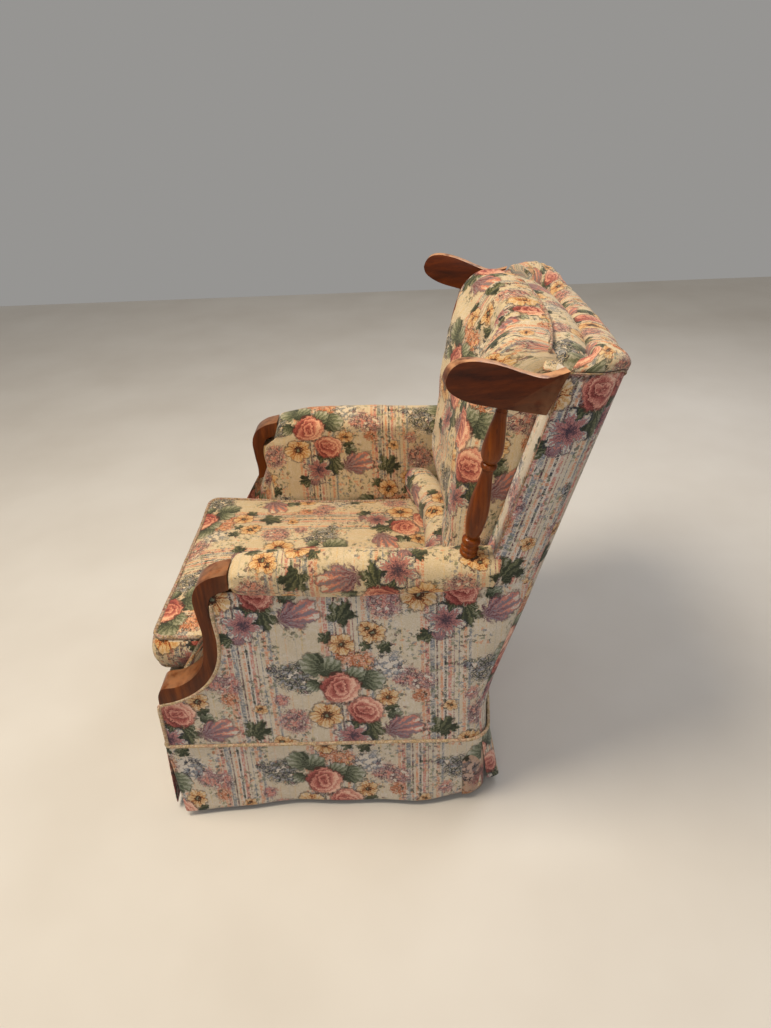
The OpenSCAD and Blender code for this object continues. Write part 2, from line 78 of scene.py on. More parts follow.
# the back's front plane meets the floor plane here, so that the crest ends at the frame's rear
FOOT_Y = cad_high.y - CREST_REAR * COS - (BACK_LENGTH + 0.0143) * SIN
SKIRT_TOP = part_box("skirt_front")[1].z
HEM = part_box("skirt_front")[0].z
SKIRT_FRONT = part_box("skirt_front")[0].y
SKIRT_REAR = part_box("skirt_rear")[1].y
ARM_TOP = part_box("arm_stump_left")[1].z            # top of the arm's frame
ARM_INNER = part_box("inside_arm_left")[0].x


def lean(x, y, z):
    """A point given in the back's own frame (y behind its front plane, z up along it)."""
    return Vector((x, FOOT_Y + y * COS + z * SIN, z * COS - y * SIN))


def unlean(p):
    """The reverse of lean()."""
    y, z = p[1] - FOOT_Y, p[2]
    return Vector((p[0], y * COS - z * SIN, z * COS + y * SIN))


def smooth(low, high, x):
    t = min(max((x - low) / (high - low), 0.0), 1.0)
    return t * t * (3 - 2 * t)


def curve_at(points, x):
    """A smooth curve through (x, y) points, read at x."""
    xs = [p[0] for p in points]
    if x <= xs[0]:
        return points[0][1]
    if x >= xs[-1]:
        return points[-1][1]
    i = max(k for k in range(len(xs)) if xs[k] <= x)
    i = min(i, len(xs) - 2)
    p = [points[max(i - 1, 0)], points[i], points[i + 1], points[min(i + 2, len(xs) - 1)]]
    h = p[2][0] - p[1][0]
    t = (x - p[1][0]) / h
    m1 = (p[2][1] - p[0][1]) / (p[2][0] - p[0][0]) * h
    m2 = (p[3][1] - p[1][1]) / (p[3][0] - p[1][0]) * h
    return ((2 * t ** 3 - 3 * t ** 2 + 1) * p[1][1] + (t ** 3 - 2 * t ** 2 + t) * m1
            + (-2 * t ** 3 + 3 * t ** 2) * p[2][1] + (t ** 3 - t ** 2) * m2)


def arc_y(apex, x, sag):
    """Depth of a barrel curve whose middle is at y = apex."""
    r = (FRAME_HALF ** 2 + sag ** 2) / (2 * sag)
    return apex - r + math.sqrt(r * r - x * x)


def rear_outline(half, rear, corner, sag, front, steps=14):
    """Plan of a side, a rounded rear corner, the rear curve, and back to the other side: (x, y) points."""
    r = (FRAME_HALF ** 2 + sag ** 2) / (2 * sag)
    inner = half - corner
    centre = rear - r + math.sqrt((r - corner) ** 2 - inner ** 2)
    last = math.atan2(centre - rear + r, inner)
    side = [(half, front + (centre - front) * k / steps) for k in range(steps)]
    turn = [(inner + corner * math.cos(a), centre + corner * math.sin(a))
            for a in [last * k / steps for k in range(steps + 1)]]
    meet = turn[-1][0]
    middle = [(meet * k / steps, arc_y(rear, meet * k / steps, sag)) for k in range(steps - 1, -steps, -1)]
    mirror = [(-x, y) for x, y in reversed(side + turn)]
    return side + turn + middle + mirror


# ---------------------------------------------------------------- mesh helpers

def link(name, mesh):
    o = bpy.data.objects.new(name, mesh)
    bpy.context.scene.collection.objects.link(o)
    return o


def grid(name, rows, uv_rows, close_rows=False, close_columns=False, cap=False):
    """A mesh from rows of points. uv_rows gives the weave's place at each point, in metres."""
    n, m = len(rows), len(rows[0])
    verts = [tuple(p) for row in rows for p in row]
    faces, corners = [], []
    for i in range(n if close_rows else n - 1):
        for j in range(m if close_columns else m - 1):
            a, b = (i + 1) % n, (j + 1) % m
            faces.append((i * m + j, i * m + b, a * m + b, a * m + j))
            corners.append([(i, j), (i, j + 1), (i + 1, j + 1), (i + 1, j)])
    if cap:
        faces.append(tuple(range(m - 1, -1, -1)))
        corners.append([(0, j) for j in range(m - 1, -1, -1)])
        faces.append(tuple((n - 1) * m + j for j in range(m)))
        corners.append([(n - 1, j) for j in range(m)])
    mesh = bpy.data.meshes.new(name)
    mesh.from_pydata(verts, [], faces)
    mesh.update()
    at = mesh.attributes.new("cloth", "FLOAT_VECTOR", "CORNER")
    values = []
    for cs in corners:
        for i, j in cs:
            u, v = uv_rows(i, j)
            values += [u, v, 0.0]
    at.data.foreach_set("vector", values)
    for p in mesh.polygons:
        p.use_smooth = True
    o = link(name, mesh)
    bm = bmesh.new()
    bm.from_mesh(mesh)
    bmesh.ops.recalc_face_normals(bm, faces=bm.faces)
    bm.to_mesh(mesh)
    bm.free()
    return o


def lengths(points):
    """Running length along a list of points."""
    out = [0.0]
    for a, b in zip(points, points[1:]):
        out.append(out[-1] + (Vector(b) - Vector(a)).length)
    return out


def lay_cloth(o, place):
    """Stores where the weave lies on each face: place(point, normal) returns (u, v) in metres."""
    mesh = o.data
    at = mesh.attributes.get("cloth") or mesh.attributes.new("cloth", "FLOAT_VECTOR", "CORNER")
    values = np.zeros((len(mesh.loops), 3), np.float32)
    for p in mesh.polygons:
        n = p.normal
        for k in p.loop_indices:
            values[k, :2] = place(mesh.vertices[mesh.loops[k].vertex_index].co, n)
    at.data.foreach_set("vector", values.ravel())


def recloth(o, change):
    """Moves the weave on a finished piece: change() gets and returns the corners' places as rows."""
    at = o.data.attributes["cloth"]
    values = np.zeros(len(o.data.loops) * 3, np.float32)
    at.data.foreach_get("vector", values)
    at.data.foreach_set("vector", change(values.reshape(-1, 3)).astype(np.float32).ravel())


def modify(o, kind, **settings):
    m = o.modifiers.new(kind.lower(), kind)
    for key, value in settings.items():
        setattr(m, key, value)
    return m


def apply_all(o):
    """Turns the object's modifiers into its mesh."""
    dg = bpy.context.evaluated_depsgraph_get()
    mesh = bpy.data.meshes.new_from_object(o.evaluated_get(dg), preserve_all_data_layers=True, depsgraph=dg)
    o.modifiers.clear()
    o.data = mesh
    return o


def points_of(o):
    co = np.zeros(len(o.data.vertices) * 3, np.float64)
    o.data.vertices.foreach_get("co", co)
    return co.reshape(-1, 3)


def set_points(o, co):
    o.data.vertices.foreach_set("co", co.astype(np.float32).ravel())
    o.data.update()


def inflate(o, cap, hold=None, pressure=4.0, frames=20):
    """Blows a closed mesh up by cloth simulation, a point by cap at most; hold(p) is 0, free, to 1, held."""
    rest = points_of(o)
    group = o.vertex_groups.new(name="hold")
    weights = np.array([hold(p) if hold else 0.0 for p in rest])
    for i, w in enumerate(weights):
        if w > 0:
            group.add([i], float(w), "REPLACE")
    cloth = o.modifiers.new("cloth", "CLOTH")
    s = cloth.settings
    s.quality = 4
    s.mass = 0.3
    s.tension_stiffness = s.compression_stiffness = 12
    s.shear_stiffness = 6
    s.bending_stiffness = 0.6
    s.use_pressure = True
    s.uniform_pressure_force = pressure
    s.effector_weights.gravity = 0.0
    s.vertex_group_mass = "hold"
    cloth.collision_settings.use_collision = False
    cloth.point_cache.frame_start = 1
    cloth.point_cache.frame_end = frames
    for f in range(1, frames + 1):
        bpy.context.scene.frame_set(f)
    dg = bpy.context.evaluated_depsgraph_get()
    e = o.evaluated_get(dg)
    moved = np.zeros(len(rest) * 3)
    e.data.vertices.foreach_get("co", moved)
    d = moved.reshape(-1, 3) - rest
    size = np.linalg.norm(d, axis=1, keepdims=True)
    d *= np.minimum(1.0, cap / np.maximum(size, 1e-9)) * (1 - weights[:, None])
    o.modifiers.remove(cloth)
    o.vertex_groups.clear()
    bpy.context.scene.frame_set(1)
    set_points(o, rest + d)
    return o


def remeshed(o, size):
    """Even quads all over, for simulation and smooth shading."""
    modify(o, "REMESH", mode="VOXEL", voxel_size=size, use_smooth_shade=True)
    return apply_all(o)


def relax(o, times, factor=0.5):
    modify(o, "SMOOTH", iterations=times, factor=factor)
    return apply_all(o)


def displace(o, height):
    """Moves each point along its normal by height(point), in metres."""
    mesh = o.data
    co, normals = points_of(o), np.zeros(len(mesh.vertices) * 3)
    mesh.vertex_normals.foreach_get("vector", normals)
    amount = np.array([height(Vector(p)) for p in co])
    set_points(o, co + normals.reshape(-1, 3) * amount[:, None])
    return o


def crumple(o, size, depth, seed=0.0):
    """Moves points along their normals by smooth noise, as of settled padding."""
    shift = Vector((seed, seed * 1.7, seed * 0.3))
    return displace(o, lambda p: depth * noise(p / size + shift))


def tube(name, points, radius, closed=False):
    """A welt: a round cord of cloth along the points."""
    curve = bpy.data.curves.new(name, "CURVE")
    curve.dimensions = "3D"
    curve.bevel_depth = radius
    curve.bevel_resolution = 3
    curve.resolution_u = 3
    curve.use_fill_caps = True
    line = curve.splines.new("NURBS")
    line.points.add(len(points) - 1)
    for p, q in zip(line.points, points):
        p.co = (*q, 1.0)
    line.use_cyclic_u = closed
    line.use_endpoint_u = not closed
    line.order_u = 4
    tmp = bpy.data.objects.new(name + "_line", curve)
    bpy.context.scene.collection.objects.link(tmp)
    dg = bpy.context.evaluated_depsgraph_get()
    mesh = bpy.data.meshes.new_from_object(tmp.evaluated_get(dg))
    bpy.data.objects.remove(tmp)
    for p in mesh.polygons:
        p.use_smooth = True
    o = link(name, mesh)
    lay_cloth(o, lambda p, n: (p.x * 0.7 + p.y, p.z + 0.4 * p.x))
    return o


def snug(path, o, lift):
    """The path's points moved onto the piece's surface, lift above it."""
    tree = BVHTree.FromObject(o, bpy.context.evaluated_depsgraph_get())
    out = []
    for p in path:
        at, normal, _, _ = tree.find_nearest(p)
        out.append(at + normal * lift)
    return out


def dress(o, material, body=CHAIR, nodes=()):
    """Material, body, and the CAD nodes it stands for."""
    o.data.materials.clear()
    o.data.materials.append(material)
    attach(o, body)
    if nodes:
        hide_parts(*nodes)
    return o


# ---------------------------------------------------------------- materials

def rgb(r, g, b):
    """Linear colour from the 0 to 255 values of a colour chart."""
    def lin(v):
        v /= 255
        return v / 12.92 if v <= 0.04045 else ((v + 0.055) / 1.055) ** 2.4
    return (lin(r), lin(g), lin(b), 1.0)


def n_light(colour, share=0.45):
    """The colour moved part of the way to white."""
    return tuple(c + (0.75 - c) * share for c in colour[:3]) + (1.0,)


class Nodes:
    """Short ways to add shader nodes; an input is a number, vector, colour or another node's output."""

    def __init__(self, tree):
        self.tree = tree
        self.tree.nodes.clear()

    def put(self, socket, value):
        if isinstance(value, bpy.types.NodeSocket):
            self.tree.links.new(value, socket)
        elif value is not None:
            socket.default_value = value

    def node(self, kind, **props):
        n = self.tree.nodes.new(kind)
        for key, value in props.items():
            setattr(n, key, value)
        return n

    def math(self, op, a, b=None, c=None, clamp=False):
        n = self.node("ShaderNodeMath", operation=op, use_clamp=clamp)
        for socket, value in zip(n.inputs, (a, b, c)):
            self.put(socket, value)
        return n.outputs[0]

    def vec(self, op, a, b=None, c=None):
        n = self.node("ShaderNodeVectorMath", operation=op)
        for socket, value in zip(n.inputs, (a, b, c)):
            self.put(socket, value)
        return n.outputs["Value" if op in ("DOT_PRODUCT", "LENGTH", "DISTANCE") else "Vector"]

    def scale(self, a, s):
        n = self.node("ShaderNodeVectorMath", operation="SCALE")
        self.put(n.inputs[0], a)
        self.put(n.inputs["Scale"], s)
        return n.outputs["Vector"]

    def combine(self, x=0.0, y=0.0, z=0.0):
        n = self.node("ShaderNodeCombineXYZ")
        for socket, value in zip(n.inputs, (x, y, z)):
            self.put(socket, value)
        return n.outputs[0]

    def split(self, v):
        n = self.node("ShaderNodeSeparateXYZ")
        self.put(n.inputs[0], v)
        return n.outputs

    def mix(self, fac, a, b, mode="MIX"):
        n = self.node("ShaderNodeMix", data_type="RGBA", blend_type=mode)
        self.put(n.inputs["Factor"], fac)
        self.put(n.inputs[6], a)
        self.put(n.inputs[7], b)
        return n.outputs[2]

    def mix_vec(self, fac, a, b):
        n = self.node("ShaderNodeMix", data_type="VECTOR")
        self.put(n.inputs[0], fac)
        self.put(n.inputs[4], a)
        self.put(n.inputs[5], b)
        return n.outputs[1]

    def ramp(self, fac, stops, mode="LINEAR"):
        n = self.node("ShaderNodeValToRGB")
        n.color_ramp.interpolation = mode
        while len(n.color_ramp.elements) < len(stops):
            n.color_ramp.elements.new(1.0)
        for e, (at, colour) in zip(n.color_ramp.elements, stops):
            e.position = at
            e.color = colour
        self.put(n.inputs[0], fac)
        return n.outputs[0]

    def step(self, value, low, high):
        """0 below low, 1 above high, smooth between; low above high turns it round."""
        n = self.node("ShaderNodeMapRange", interpolation_type="SMOOTHSTEP")
        for socket, v in zip(n.inputs, (value, low, high, 0.0, 1.0)):
            self.put(socket, v)
        return n.outputs[0]

    def noise(self, where, scale, detail=2.0, rough=0.5, distortion=0.0):
        n = self.node("ShaderNodeTexNoise", noise_dimensions="3D")
        self.put(n.inputs["Vector"], where)
        self.put(n.inputs["Scale"], scale)
        self.put(n.inputs["Detail"], detail)
        self.put(n.inputs["Roughness"], rough)
        self.put(n.inputs["Distortion"], distortion)
        return n.outputs[0]

    def voronoi(self, where, scale, random=1.0):
        n = self.node("ShaderNodeTexVoronoi", feature="F1", voronoi_dimensions="2D")
        self.put(n.inputs["Vector"], where)
        self.put(n.inputs["Scale"], scale)
        self.put(n.inputs["Randomness"], random)
        return n.outputs["Distance"], n.outputs["Color"], n.outputs["Position"]


CREAM = rgb(200, 190, 172)
PEACH = rgb(204, 148, 120)
PINK = rgb(190, 124, 116)
BLUE = rgb(120, 128, 142)
NAVY = rgb(50, 54, 70)
MAUVE = rgb(148, 108, 116)
OCHRE = rgb(200, 160, 104)
ROSE_DARK = rgb(92, 34, 36)
ROSE = rgb(160, 84, 80)
ROSE_LIGHT = rgb(208, 146, 132)
ROSE_PALE = rgb(228, 192, 174)
SAGE = rgb(120, 128, 108)
SAGE_DARK = rgb(58, 66, 54)
LEAF = rgb(42, 48, 34)
LEAF_LIGHT = rgb(100, 104, 76)
RUST = rgb(170, 96, 54)
BEIGE = rgb(204, 172, 124)
BROWN = rgb(76, 48, 34)
PLUM = rgb(92, 58, 72)
PALE = rgb(208, 202, 196)
FAINT_OCHRE = rgb(204, 184, 150)
FAINT_PEACH = rgb(206, 178, 154)
FAINT_BLUE = rgb(176, 174, 168)

# The weave repeats every REPEAT across, and every HALF_DROP down with a half shift, in millimetres
REPEAT = 357.0
HALF_DROP = 270.0

# One repeat's stripes from its left, as width in millimetres and colour
STRIPES = [
    (4, CREAM), (5, PEACH), (2, CREAM), (6, PINK), (2, CREAM), (7, BLUE), (2, CREAM), (3, PLUM), (4, CREAM),
    (4, PEACH), (2, PALE), (4, NAVY), (2, PALE), (6, PINK), (3, CREAM), (2, MAUVE), (6, CREAM), (2, BLUE),
    (5, CREAM), (6, PEACH), (3, CREAM), (4, BLUE), (9, CREAM), (2, FAINT_OCHRE), (11, CREAM),
    (2, FAINT_PEACH),
    (14, CREAM), (1, FAINT_BLUE), (9, CREAM), (2, FAINT_OCHRE), (24, CREAM),
]

# Where the flowers lie in one repeat: across, up, size in millimetres, and turn in degrees
ROSES = [(0, 0, 37, 0), (44, -56, 34, 75)]
ROUND_LEAVES = [(-46, 58, 27, 150), (-18, 51, 25, 60), (59, 18, 25, -20), (98, -67, 14, 30),
                (-50, 8, 15, 200), (30, 30, 22, 40)]
DARK_LEAVES = [(53, -108, 27, -80), (22, -92, 19, -130), (190, -101, 27, 60), (84, 94, 15, 30),
               (52, 99, 12, 100),
               (-20, 118, 14, 60), (-196, 118, 18, 200), (92, -48, 13, 0)]
TULIPS = [(116, -100, 33, 20), (5, -148, 15, 80)]
ANEMONES = [(-31, -66, 33, 10), (8, 102, 25, 25), (65, 126, 24, 60), (86, -25, 22, 0),
            (-154, -49, 14, 0), (-124, -133, 16, 0)]
LILIES = [(-163, 149, 36, 20)]
NAVY_BUNCHES = [(-85, 30, 32, 0), (-66, 2, 16, 0), (-122, 48, 12, 0)]
WHITE_BUNCHES = [(92, 52, 28, 0)]
MAUVE_BUNCHES = [(120, 26, 24, 0), (148, 12, 24, 0), (-92, -80, 30, 0), (-112, -26, 15, 0)]
RUST_BUNCHES = [(43, 60, 25, 0), (12, 76, 18, 0), (-14, 112, 13, 0), (148, -22, 16, 0)]


def tapestry_group():
    """The woven flowers: colour and height from the weave's place on each piece."""
    tree = bpy.data.node_groups.new("tapestry_weave", "ShaderNodeTree")
    tree.interface.new_socket("Color", in_out="OUTPUT", socket_type="NodeSocketColor")
    tree.interface.new_socket("Height", in_out="OUTPUT", socket_type="NodeSocketFloat")
    n = Nodes(tree)
    out = n.node("NodeGroupOutput")
    place = n.node("ShaderNodeAttribute", attribute_name="cloth").outputs["Vector"]
    mm = n.scale(place, 1000.0)
    ragged = n.node("ShaderNodeTexNoise", noise_dimensions="2D")
    n.put(ragged.inputs["Vector"], mm)
    n.put(ragged.inputs["Scale"], 0.13)
    n.put(ragged.inputs["Detail"], 4.0)
    shake = n.scale(n.vec("SUBTRACT", ragged.outputs["Color"], (0.5, 0.5, 0.5)), 13.0)
    loose = n.vec("ADD", mm, shake)
    u, v, _ = n.split(mm)
    ul, vl, _ = n.split(loose)
    lattice = n.combine(n.math("SUBTRACT", n.math("DIVIDE", ul, REPEAT),
                               n.math("DIVIDE", vl, 2 * HALF_DROP)),
                        n.math("DIVIDE", vl, HALF_DROP))
    grain = n.noise(mm, 0.45, 3.0)
    fine = n.noise(n.vec("MULTIPLY", mm, (1.0, 0.25, 1.0)), 1.3, 1.0)
    swing = n.math("SUBTRACT", grain, 0.5)

    def local(spot):
        """Place relative to a spot (across, up, size, turn) of the repeat, in units of its size."""
        x, y, size, turn = spot
        c, s = math.cos(math.radians(turn)) / size, math.sin(math.radians(turn)) / size
        at = (x / REPEAT - y / (2 * HALF_DROP), y / HALF_DROP, 0.0)
        q = n.vec("WRAP", n.vec("SUBTRACT", lattice, at), (0.5, 0.5, 0.5), (-0.5, -0.5, -0.5))
        half = REPEAT / 2
        across = n.vec("DOT_PRODUCT", q, (REPEAT * c, half * c + HALF_DROP * s, 0.0))
        up = n.vec("DOT_PRODUCT", q, (-REPEAT * s, -half * s + HALF_DROP * c, 0.0))
        d = n.combine(across, up)
        return d, n.vec("LENGTH", d)

    def nearest(spots):
        """The closest of several like flowers: its local place, distance and angle."""
        d, r = local(spots[0])
        for spot in spots[1:]:
            d2, r2 = local(spot)
            closer = n.math("LESS_THAN", r2, r)
            d = n.mix_vec(closer, d, d2)
            r = n.math("MINIMUM", r, r2)
        x, y, _ = n.split(d)
        return d, r, n.math("ARCTAN2", y, x)

    def wave(angle, times, shift=0.0):
        return n.math("SINE", n.math("MULTIPLY_ADD", angle, times, shift))

    def arches(angle, times, shift, power, depth):
        """An outline factor from 1 - depth between petals up to 1 at their middle."""
        p = n.math("POWER", n.math("ABSOLUTE", wave(angle, times, shift)), power)
        return n.math("MULTIPLY_ADD", p, depth, 1 - depth)

    # pale ground with stripes, broken by short crosswise threads
    total = sum(w for w, _ in STRIPES)
    sway = n.math("MULTIPLY_ADD", n.noise(n.combine(0.0, v), 0.5, 0.0), 1.6, -0.8)
    phase = n.math("FRACT", n.math("DIVIDE", n.math("ADD", n.math("ADD", u, 34.0), sway), REPEAT / 2))
    stops, at = [], 0.0
    for width, colour in STRIPES:
        stops.append((at / total, colour))
        at += width
    ground = n.ramp(phase, stops, "CONSTANT")
    dashes = n.noise(n.vec("MULTIPLY", mm, (0.09, 0.75, 1.0)), 1.0, 2.0)
    ground = n.mix(n.step(dashes, 0.55, 0.6), ground, CREAM)
    breaks = n.noise(n.vec("MULTIPLY", loose, (0.16, 0.045, 1.0)), 1.0, 2.0)
    ground = n.mix(n.math("MULTIPLY", n.step(breaks, 0.54, 0.58), 0.85), ground, PALE)
    blotch = n.step(n.noise(n.vec("MULTIPLY", mm, (0.35, 1.0, 1.0)), 0.09, 3.0), 0.60, 0.66)
    ground = n.mix(n.math("MULTIPLY", blotch, 0.6), ground, PALE)

    # thin sprigs of small leaves in the open ground
    gap, tint, _ = n.voronoi(loose, 0.10, 1.0)
    sprig = n.step(n.noise(loose, 0.016, 1.0), 0.46, 0.52)
    small = n.math("MULTIPLY", n.step(n.math("MULTIPLY_ADD", swing, 0.5, gap), 0.34, 0.26), sprig)
    ground = n.mix(n.math("MULTIPLY", small, 0.75), ground,
                   n.ramp(tint, [(0.0, SAGE_DARK), (0.3, BLUE), (0.5, SAGE), (0.7, PEACH), (0.82, PLUM),
                                 (0.92, RUST)], "CONSTANT"))
    stem = n.math("ABSOLUTE", n.math("SUBTRACT", n.noise(loose, 0.03, 0.0), 0.5))
    ground = n.mix(n.math("MULTIPLY", n.math("MULTIPLY", n.step(stem, 0.008, 0.003), sprig), 0.6),
                   ground, SAGE_DARK)
    colour = ground

    def cluster(colour, spots, stops, scale, leaf=SAGE_DARK):
        """A ragged bunch of tiny flowers with dark leaves between them."""
        _, r, _ = nearest(spots)
        inside = n.step(n.math("MULTIPLY_ADD", swing, 1.9, r), 1.12, 0.98)
        gap, tint, _ = n.voronoi(loose, scale, 1.0)
        petals = n.step(gap, 0.66, 0.56)
        shade = n.ramp(tint, stops, "CONSTANT")
        shade = n.mix(n.step(gap, 0.42, 0.10), shade, n.mix(0.55, shade, PALE))
        under = n.mix(n.math("MULTIPLY", n.step(grain, 0.46, 0.52), 0.85), colour, leaf)
        return n.mix(inside, colour, n.mix(petals, under, shade))

    colour = cluster(colour, NAVY_BUNCHES,
                     [(0.0, NAVY), (0.4, SAGE_DARK), (0.6, BLUE), (0.8, PALE), (0.9, PLUM)], 0.17, LEAF)
    colour = cluster(colour, MAUVE_BUNCHES, [(0.0, MAUVE), (0.4, PLUM), (0.6, PINK), (0.85, PALE)], 0.19,
                     PLUM)
    colour = cluster(colour, RUST_BUNCHES, [(0.0, RUST), (0.5, PEACH), (0.75, BROWN), (0.85, OCHRE)],
                     0.19, BROWN)
    colour = cluster(colour, WHITE_BUNCHES, [(0.0, PALE), (0.45, BLUE), (0.7, NAVY), (0.9, PALE)], 0.13,
                     NAVY)

    def over(colour, shape, petals, line_colour=LEAF, shadow=0.7):
        """Lays a flower over the cloth, with a dark broken outline round it."""
        line = n.math("MULTIPLY", n.step(shape, -0.16, -0.03), n.step(shape, 0.07, 0.01))
        line = n.math("MULTIPLY", line, n.step(n.math("ADD", grain, fine), 0.72, 1.0))
        colour = n.mix(n.step(shape, -0.01, 0.02), colour, petals)
        return n.mix(n.math("MULTIPLY", line, shadow), colour, line_colour)

    def ribbed(x, y, ribs, base):
        """Fine veins that run out from the foot of a leaf or petal."""
        fan = n.math("ARCTAN2", y, n.math("ADD", x, base))
        return fan, n.math("ADD", wave(fan, ribs), n.math("MULTIPLY", swing, 3.0))

    # round sage leaves behind the roses
    d, r, a = nearest(ROUND_LEAVES)
    x, y, _ = n.split(d)
    fan, veins = ribbed(x, y, 22.0, 1.05)
    shape = n.math("SUBTRACT", arches(a, 3.5, 0.4, 0.6, 0.16), r)
    tone = n.math("ADD", n.math("MULTIPLY", veins, 0.13),
                  n.math("MULTIPLY_ADD", x, 0.34, n.math("MULTIPLY_ADD", y, 0.16, 0.46)))
    shade = n.ramp(tone, [(0.0, LEAF), (0.28, SAGE_DARK), (0.6, SAGE), (0.9, n_light(SAGE)), (1.0, PALE)])
    colour = over(colour, shape, shade)

    # dark leaves with serrated lobes
    d, r, a = nearest(DARK_LEAVES)
    x, y, _ = n.split(d)
    fan, veins = ribbed(x, y, 18.0, 1.0)
    lobes = arches(a, 2.5, math.pi / 2, 0.9, 0.46)
    shape = n.math("SUBTRACT", n.math("MULTIPLY_ADD", wave(a, 19.0), 0.05, lobes), r)
    tone = n.math("ADD", n.math("MULTIPLY", veins, 0.2), n.math("MULTIPLY_ADD", y, 0.3, 0.38))
    shade = n.ramp(tone, [(0.05, LEAF), (0.36, SAGE_DARK), (0.62, LEAF_LIGHT), (0.9, n_light(LEAF_LIGHT))])
    colour = over(colour, shape, shade)

    # striped mauve tulips
    d, r, a = nearest(TULIPS)
    x, y, _ = n.split(d)
    fan, streak = ribbed(x, y, 19.0, 1.1)
    petal = n.math("MULTIPLY_ADD", n.math("ABSOLUTE", wave(fan, 6.0)), 0.30, 0.74)
    shape = n.math("SUBTRACT", petal, n.vec("LENGTH", n.vec("MULTIPLY", d, (0.84, 1.15, 1.0))))
    tone = n.math("ADD", n.math("MULTIPLY", streak, 0.24), n.math("MULTIPLY_ADD", x, 0.34, 0.44))
    tone = n.math("MULTIPLY_ADD", n.math("ABSOLUTE", wave(fan, 6.0)), 0.18, tone)
    shade = n.ramp(tone, [(0.05, PLUM), (0.35, MAUVE), (0.55, BLUE), (0.72, PINK), (0.92, ROSE_LIGHT),
                          (1.0, PALE)])
    colour = over(colour, shape, shade, PLUM)

    # beige anemones with dark hearts
    d, r, a = nearest(ANEMONES)
    shape = n.math("SUBTRACT", arches(a, 2.5, 0.0, 0.5, 0.30), r)
    streak = n.math("ADD", wave(a, 17.0), n.math("MULTIPLY", swing, 5.0))
    tone = n.math("MULTIPLY_ADD", r, 0.55, n.math("MULTIPLY_ADD", streak, 0.17, 0.18))
    tone = n.math("MULTIPLY_ADD", n.math("ABSOLUTE", wave(a, 2.5)), 0.26, tone)
    shade = n.ramp(tone, [(0.25, BROWN), (0.46, RUST), (0.68, BEIGE), (0.95, n_light(BEIGE, 0.25)),
                          (1.0, n_light(BEIGE))])
    shade = n.mix(n.step(n.math("MULTIPLY_ADD", swing, 0.5, r), 0.36, 0.26), shade, BROWN)
    shade = n.mix(n.step(r, 0.12, 0.08), shade, SAGE)
    colour = over(colour, shape, shade, BROWN)

    # lilies, pale at the edge and dark inside
    d, r, a = nearest(LILIES)
    point = n.math("ABSOLUTE", wave(a, 3.0, 0.4))
    shape = n.math("SUBTRACT", n.math("MULTIPLY_ADD", n.math("POWER", point, 1.1), 0.66, 0.38), r)
    streak = n.math("ADD", wave(a, 27.0), n.math("MULTIPLY", swing, 5.0))
    tone = n.math("ADD", n.math("MULTIPLY_ADD", point, -0.22, r),
                  n.math("MULTIPLY_ADD", streak, 0.15, 0.16))
    shade = n.ramp(tone, [(0.05, NAVY), (0.2, PLUM), (0.42, MAUVE), (0.58, PINK), (0.72, BLUE),
                          (0.88, PALE), (1.0, CREAM)])
    colour = over(colour, shape, shade, NAVY, 0.8)

    # roses in pairs: crescent petals, dark at their foot and pale at their rim
    d, r, a = nearest(ROSES)
    x, y, _ = n.split(d)
    shape = n.math("SUBTRACT", arches(a, 2.5, 0.8, 0.5, 0.13), r)
    ring = n.math("MULTIPLY_ADD", r, 2.7,
                  n.math("MULTIPLY", n.math("SINE",
                                            n.math("MULTIPLY_ADD", a, 2.0, n.math("MULTIPLY", r, 4.0))),
                                            0.34))
    fold = n.math("FRACT", n.math("MULTIPLY_ADD", swing, 0.7, ring))
    lit = n.math("MULTIPLY_ADD", fold, 0.62,
                 n.math("MULTIPLY_ADD", x, 0.30, n.math("MULTIPLY_ADD", y, -0.16, 0.02)))
    lit = n.math("ADD", lit, n.math("MULTIPLY_ADD", r, 0.30, n.math("MULTIPLY", swing, 0.5)))
    shade = n.ramp(lit, [(0.0, ROSE_DARK), (0.32, ROSE), (0.62, ROSE_LIGHT), (0.95, ROSE_PALE)])
    colour = over(colour, shape, shade, ROSE_DARK)

    # threads: each crosswise pick a little lighter or darker
    uneven = n.noise(n.vec("MULTIPLY", mm, (0.5, 1.0, 1.0)), 0.8, 3.0, 0.65)
    colour = n.mix(n.step(uneven, 0.50, 0.30), colour,
                   n.mix(1.0, colour, (0.62, 0.58, 0.54, 1.0), "MULTIPLY"))
    colour = n.mix(n.math("MULTIPLY_ADD", fine, 0.5, -0.1, clamp=True), colour,
                   n.mix(1.0, colour, (0.76, 0.73, 0.68, 1.0), "MULTIPLY"))
    ribs = n.math("MULTIPLY", wave(v, 2 * math.pi / 1.1),
                  n.math("MULTIPLY_ADD", wave(u, 2 * math.pi / 1.3), 0.4, 0.6))
    n.put(out.inputs["Color"], colour)
    n.put(out.inputs["Height"], n.math("ADD", n.math("MULTIPLY", ribs, 0.5),
                                       n.math("MULTIPLY", grain, 1.6)))
    return tree


def surface(name):
    m = bpy.data.materials.new(name)
    m.use_nodes = True
    n = Nodes(m.node_tree)
    bsdf = n.node("ShaderNodeBsdfPrincipled")
    out = n.node("ShaderNodeOutputMaterial")
    n.tree.links.new(bsdf.outputs[0], out.inputs["Surface"])
    return m, n, bsdf


def bump(n, bsdf, height, strength, distance):
    b = n.node("ShaderNodeBump")
    b.inputs["Strength"].default_value = strength
    b.inputs["Distance"].default_value = distance
    n.put(b.inputs["Height"], height)
    n.put(bsdf.inputs["Normal"], b.outputs[0])


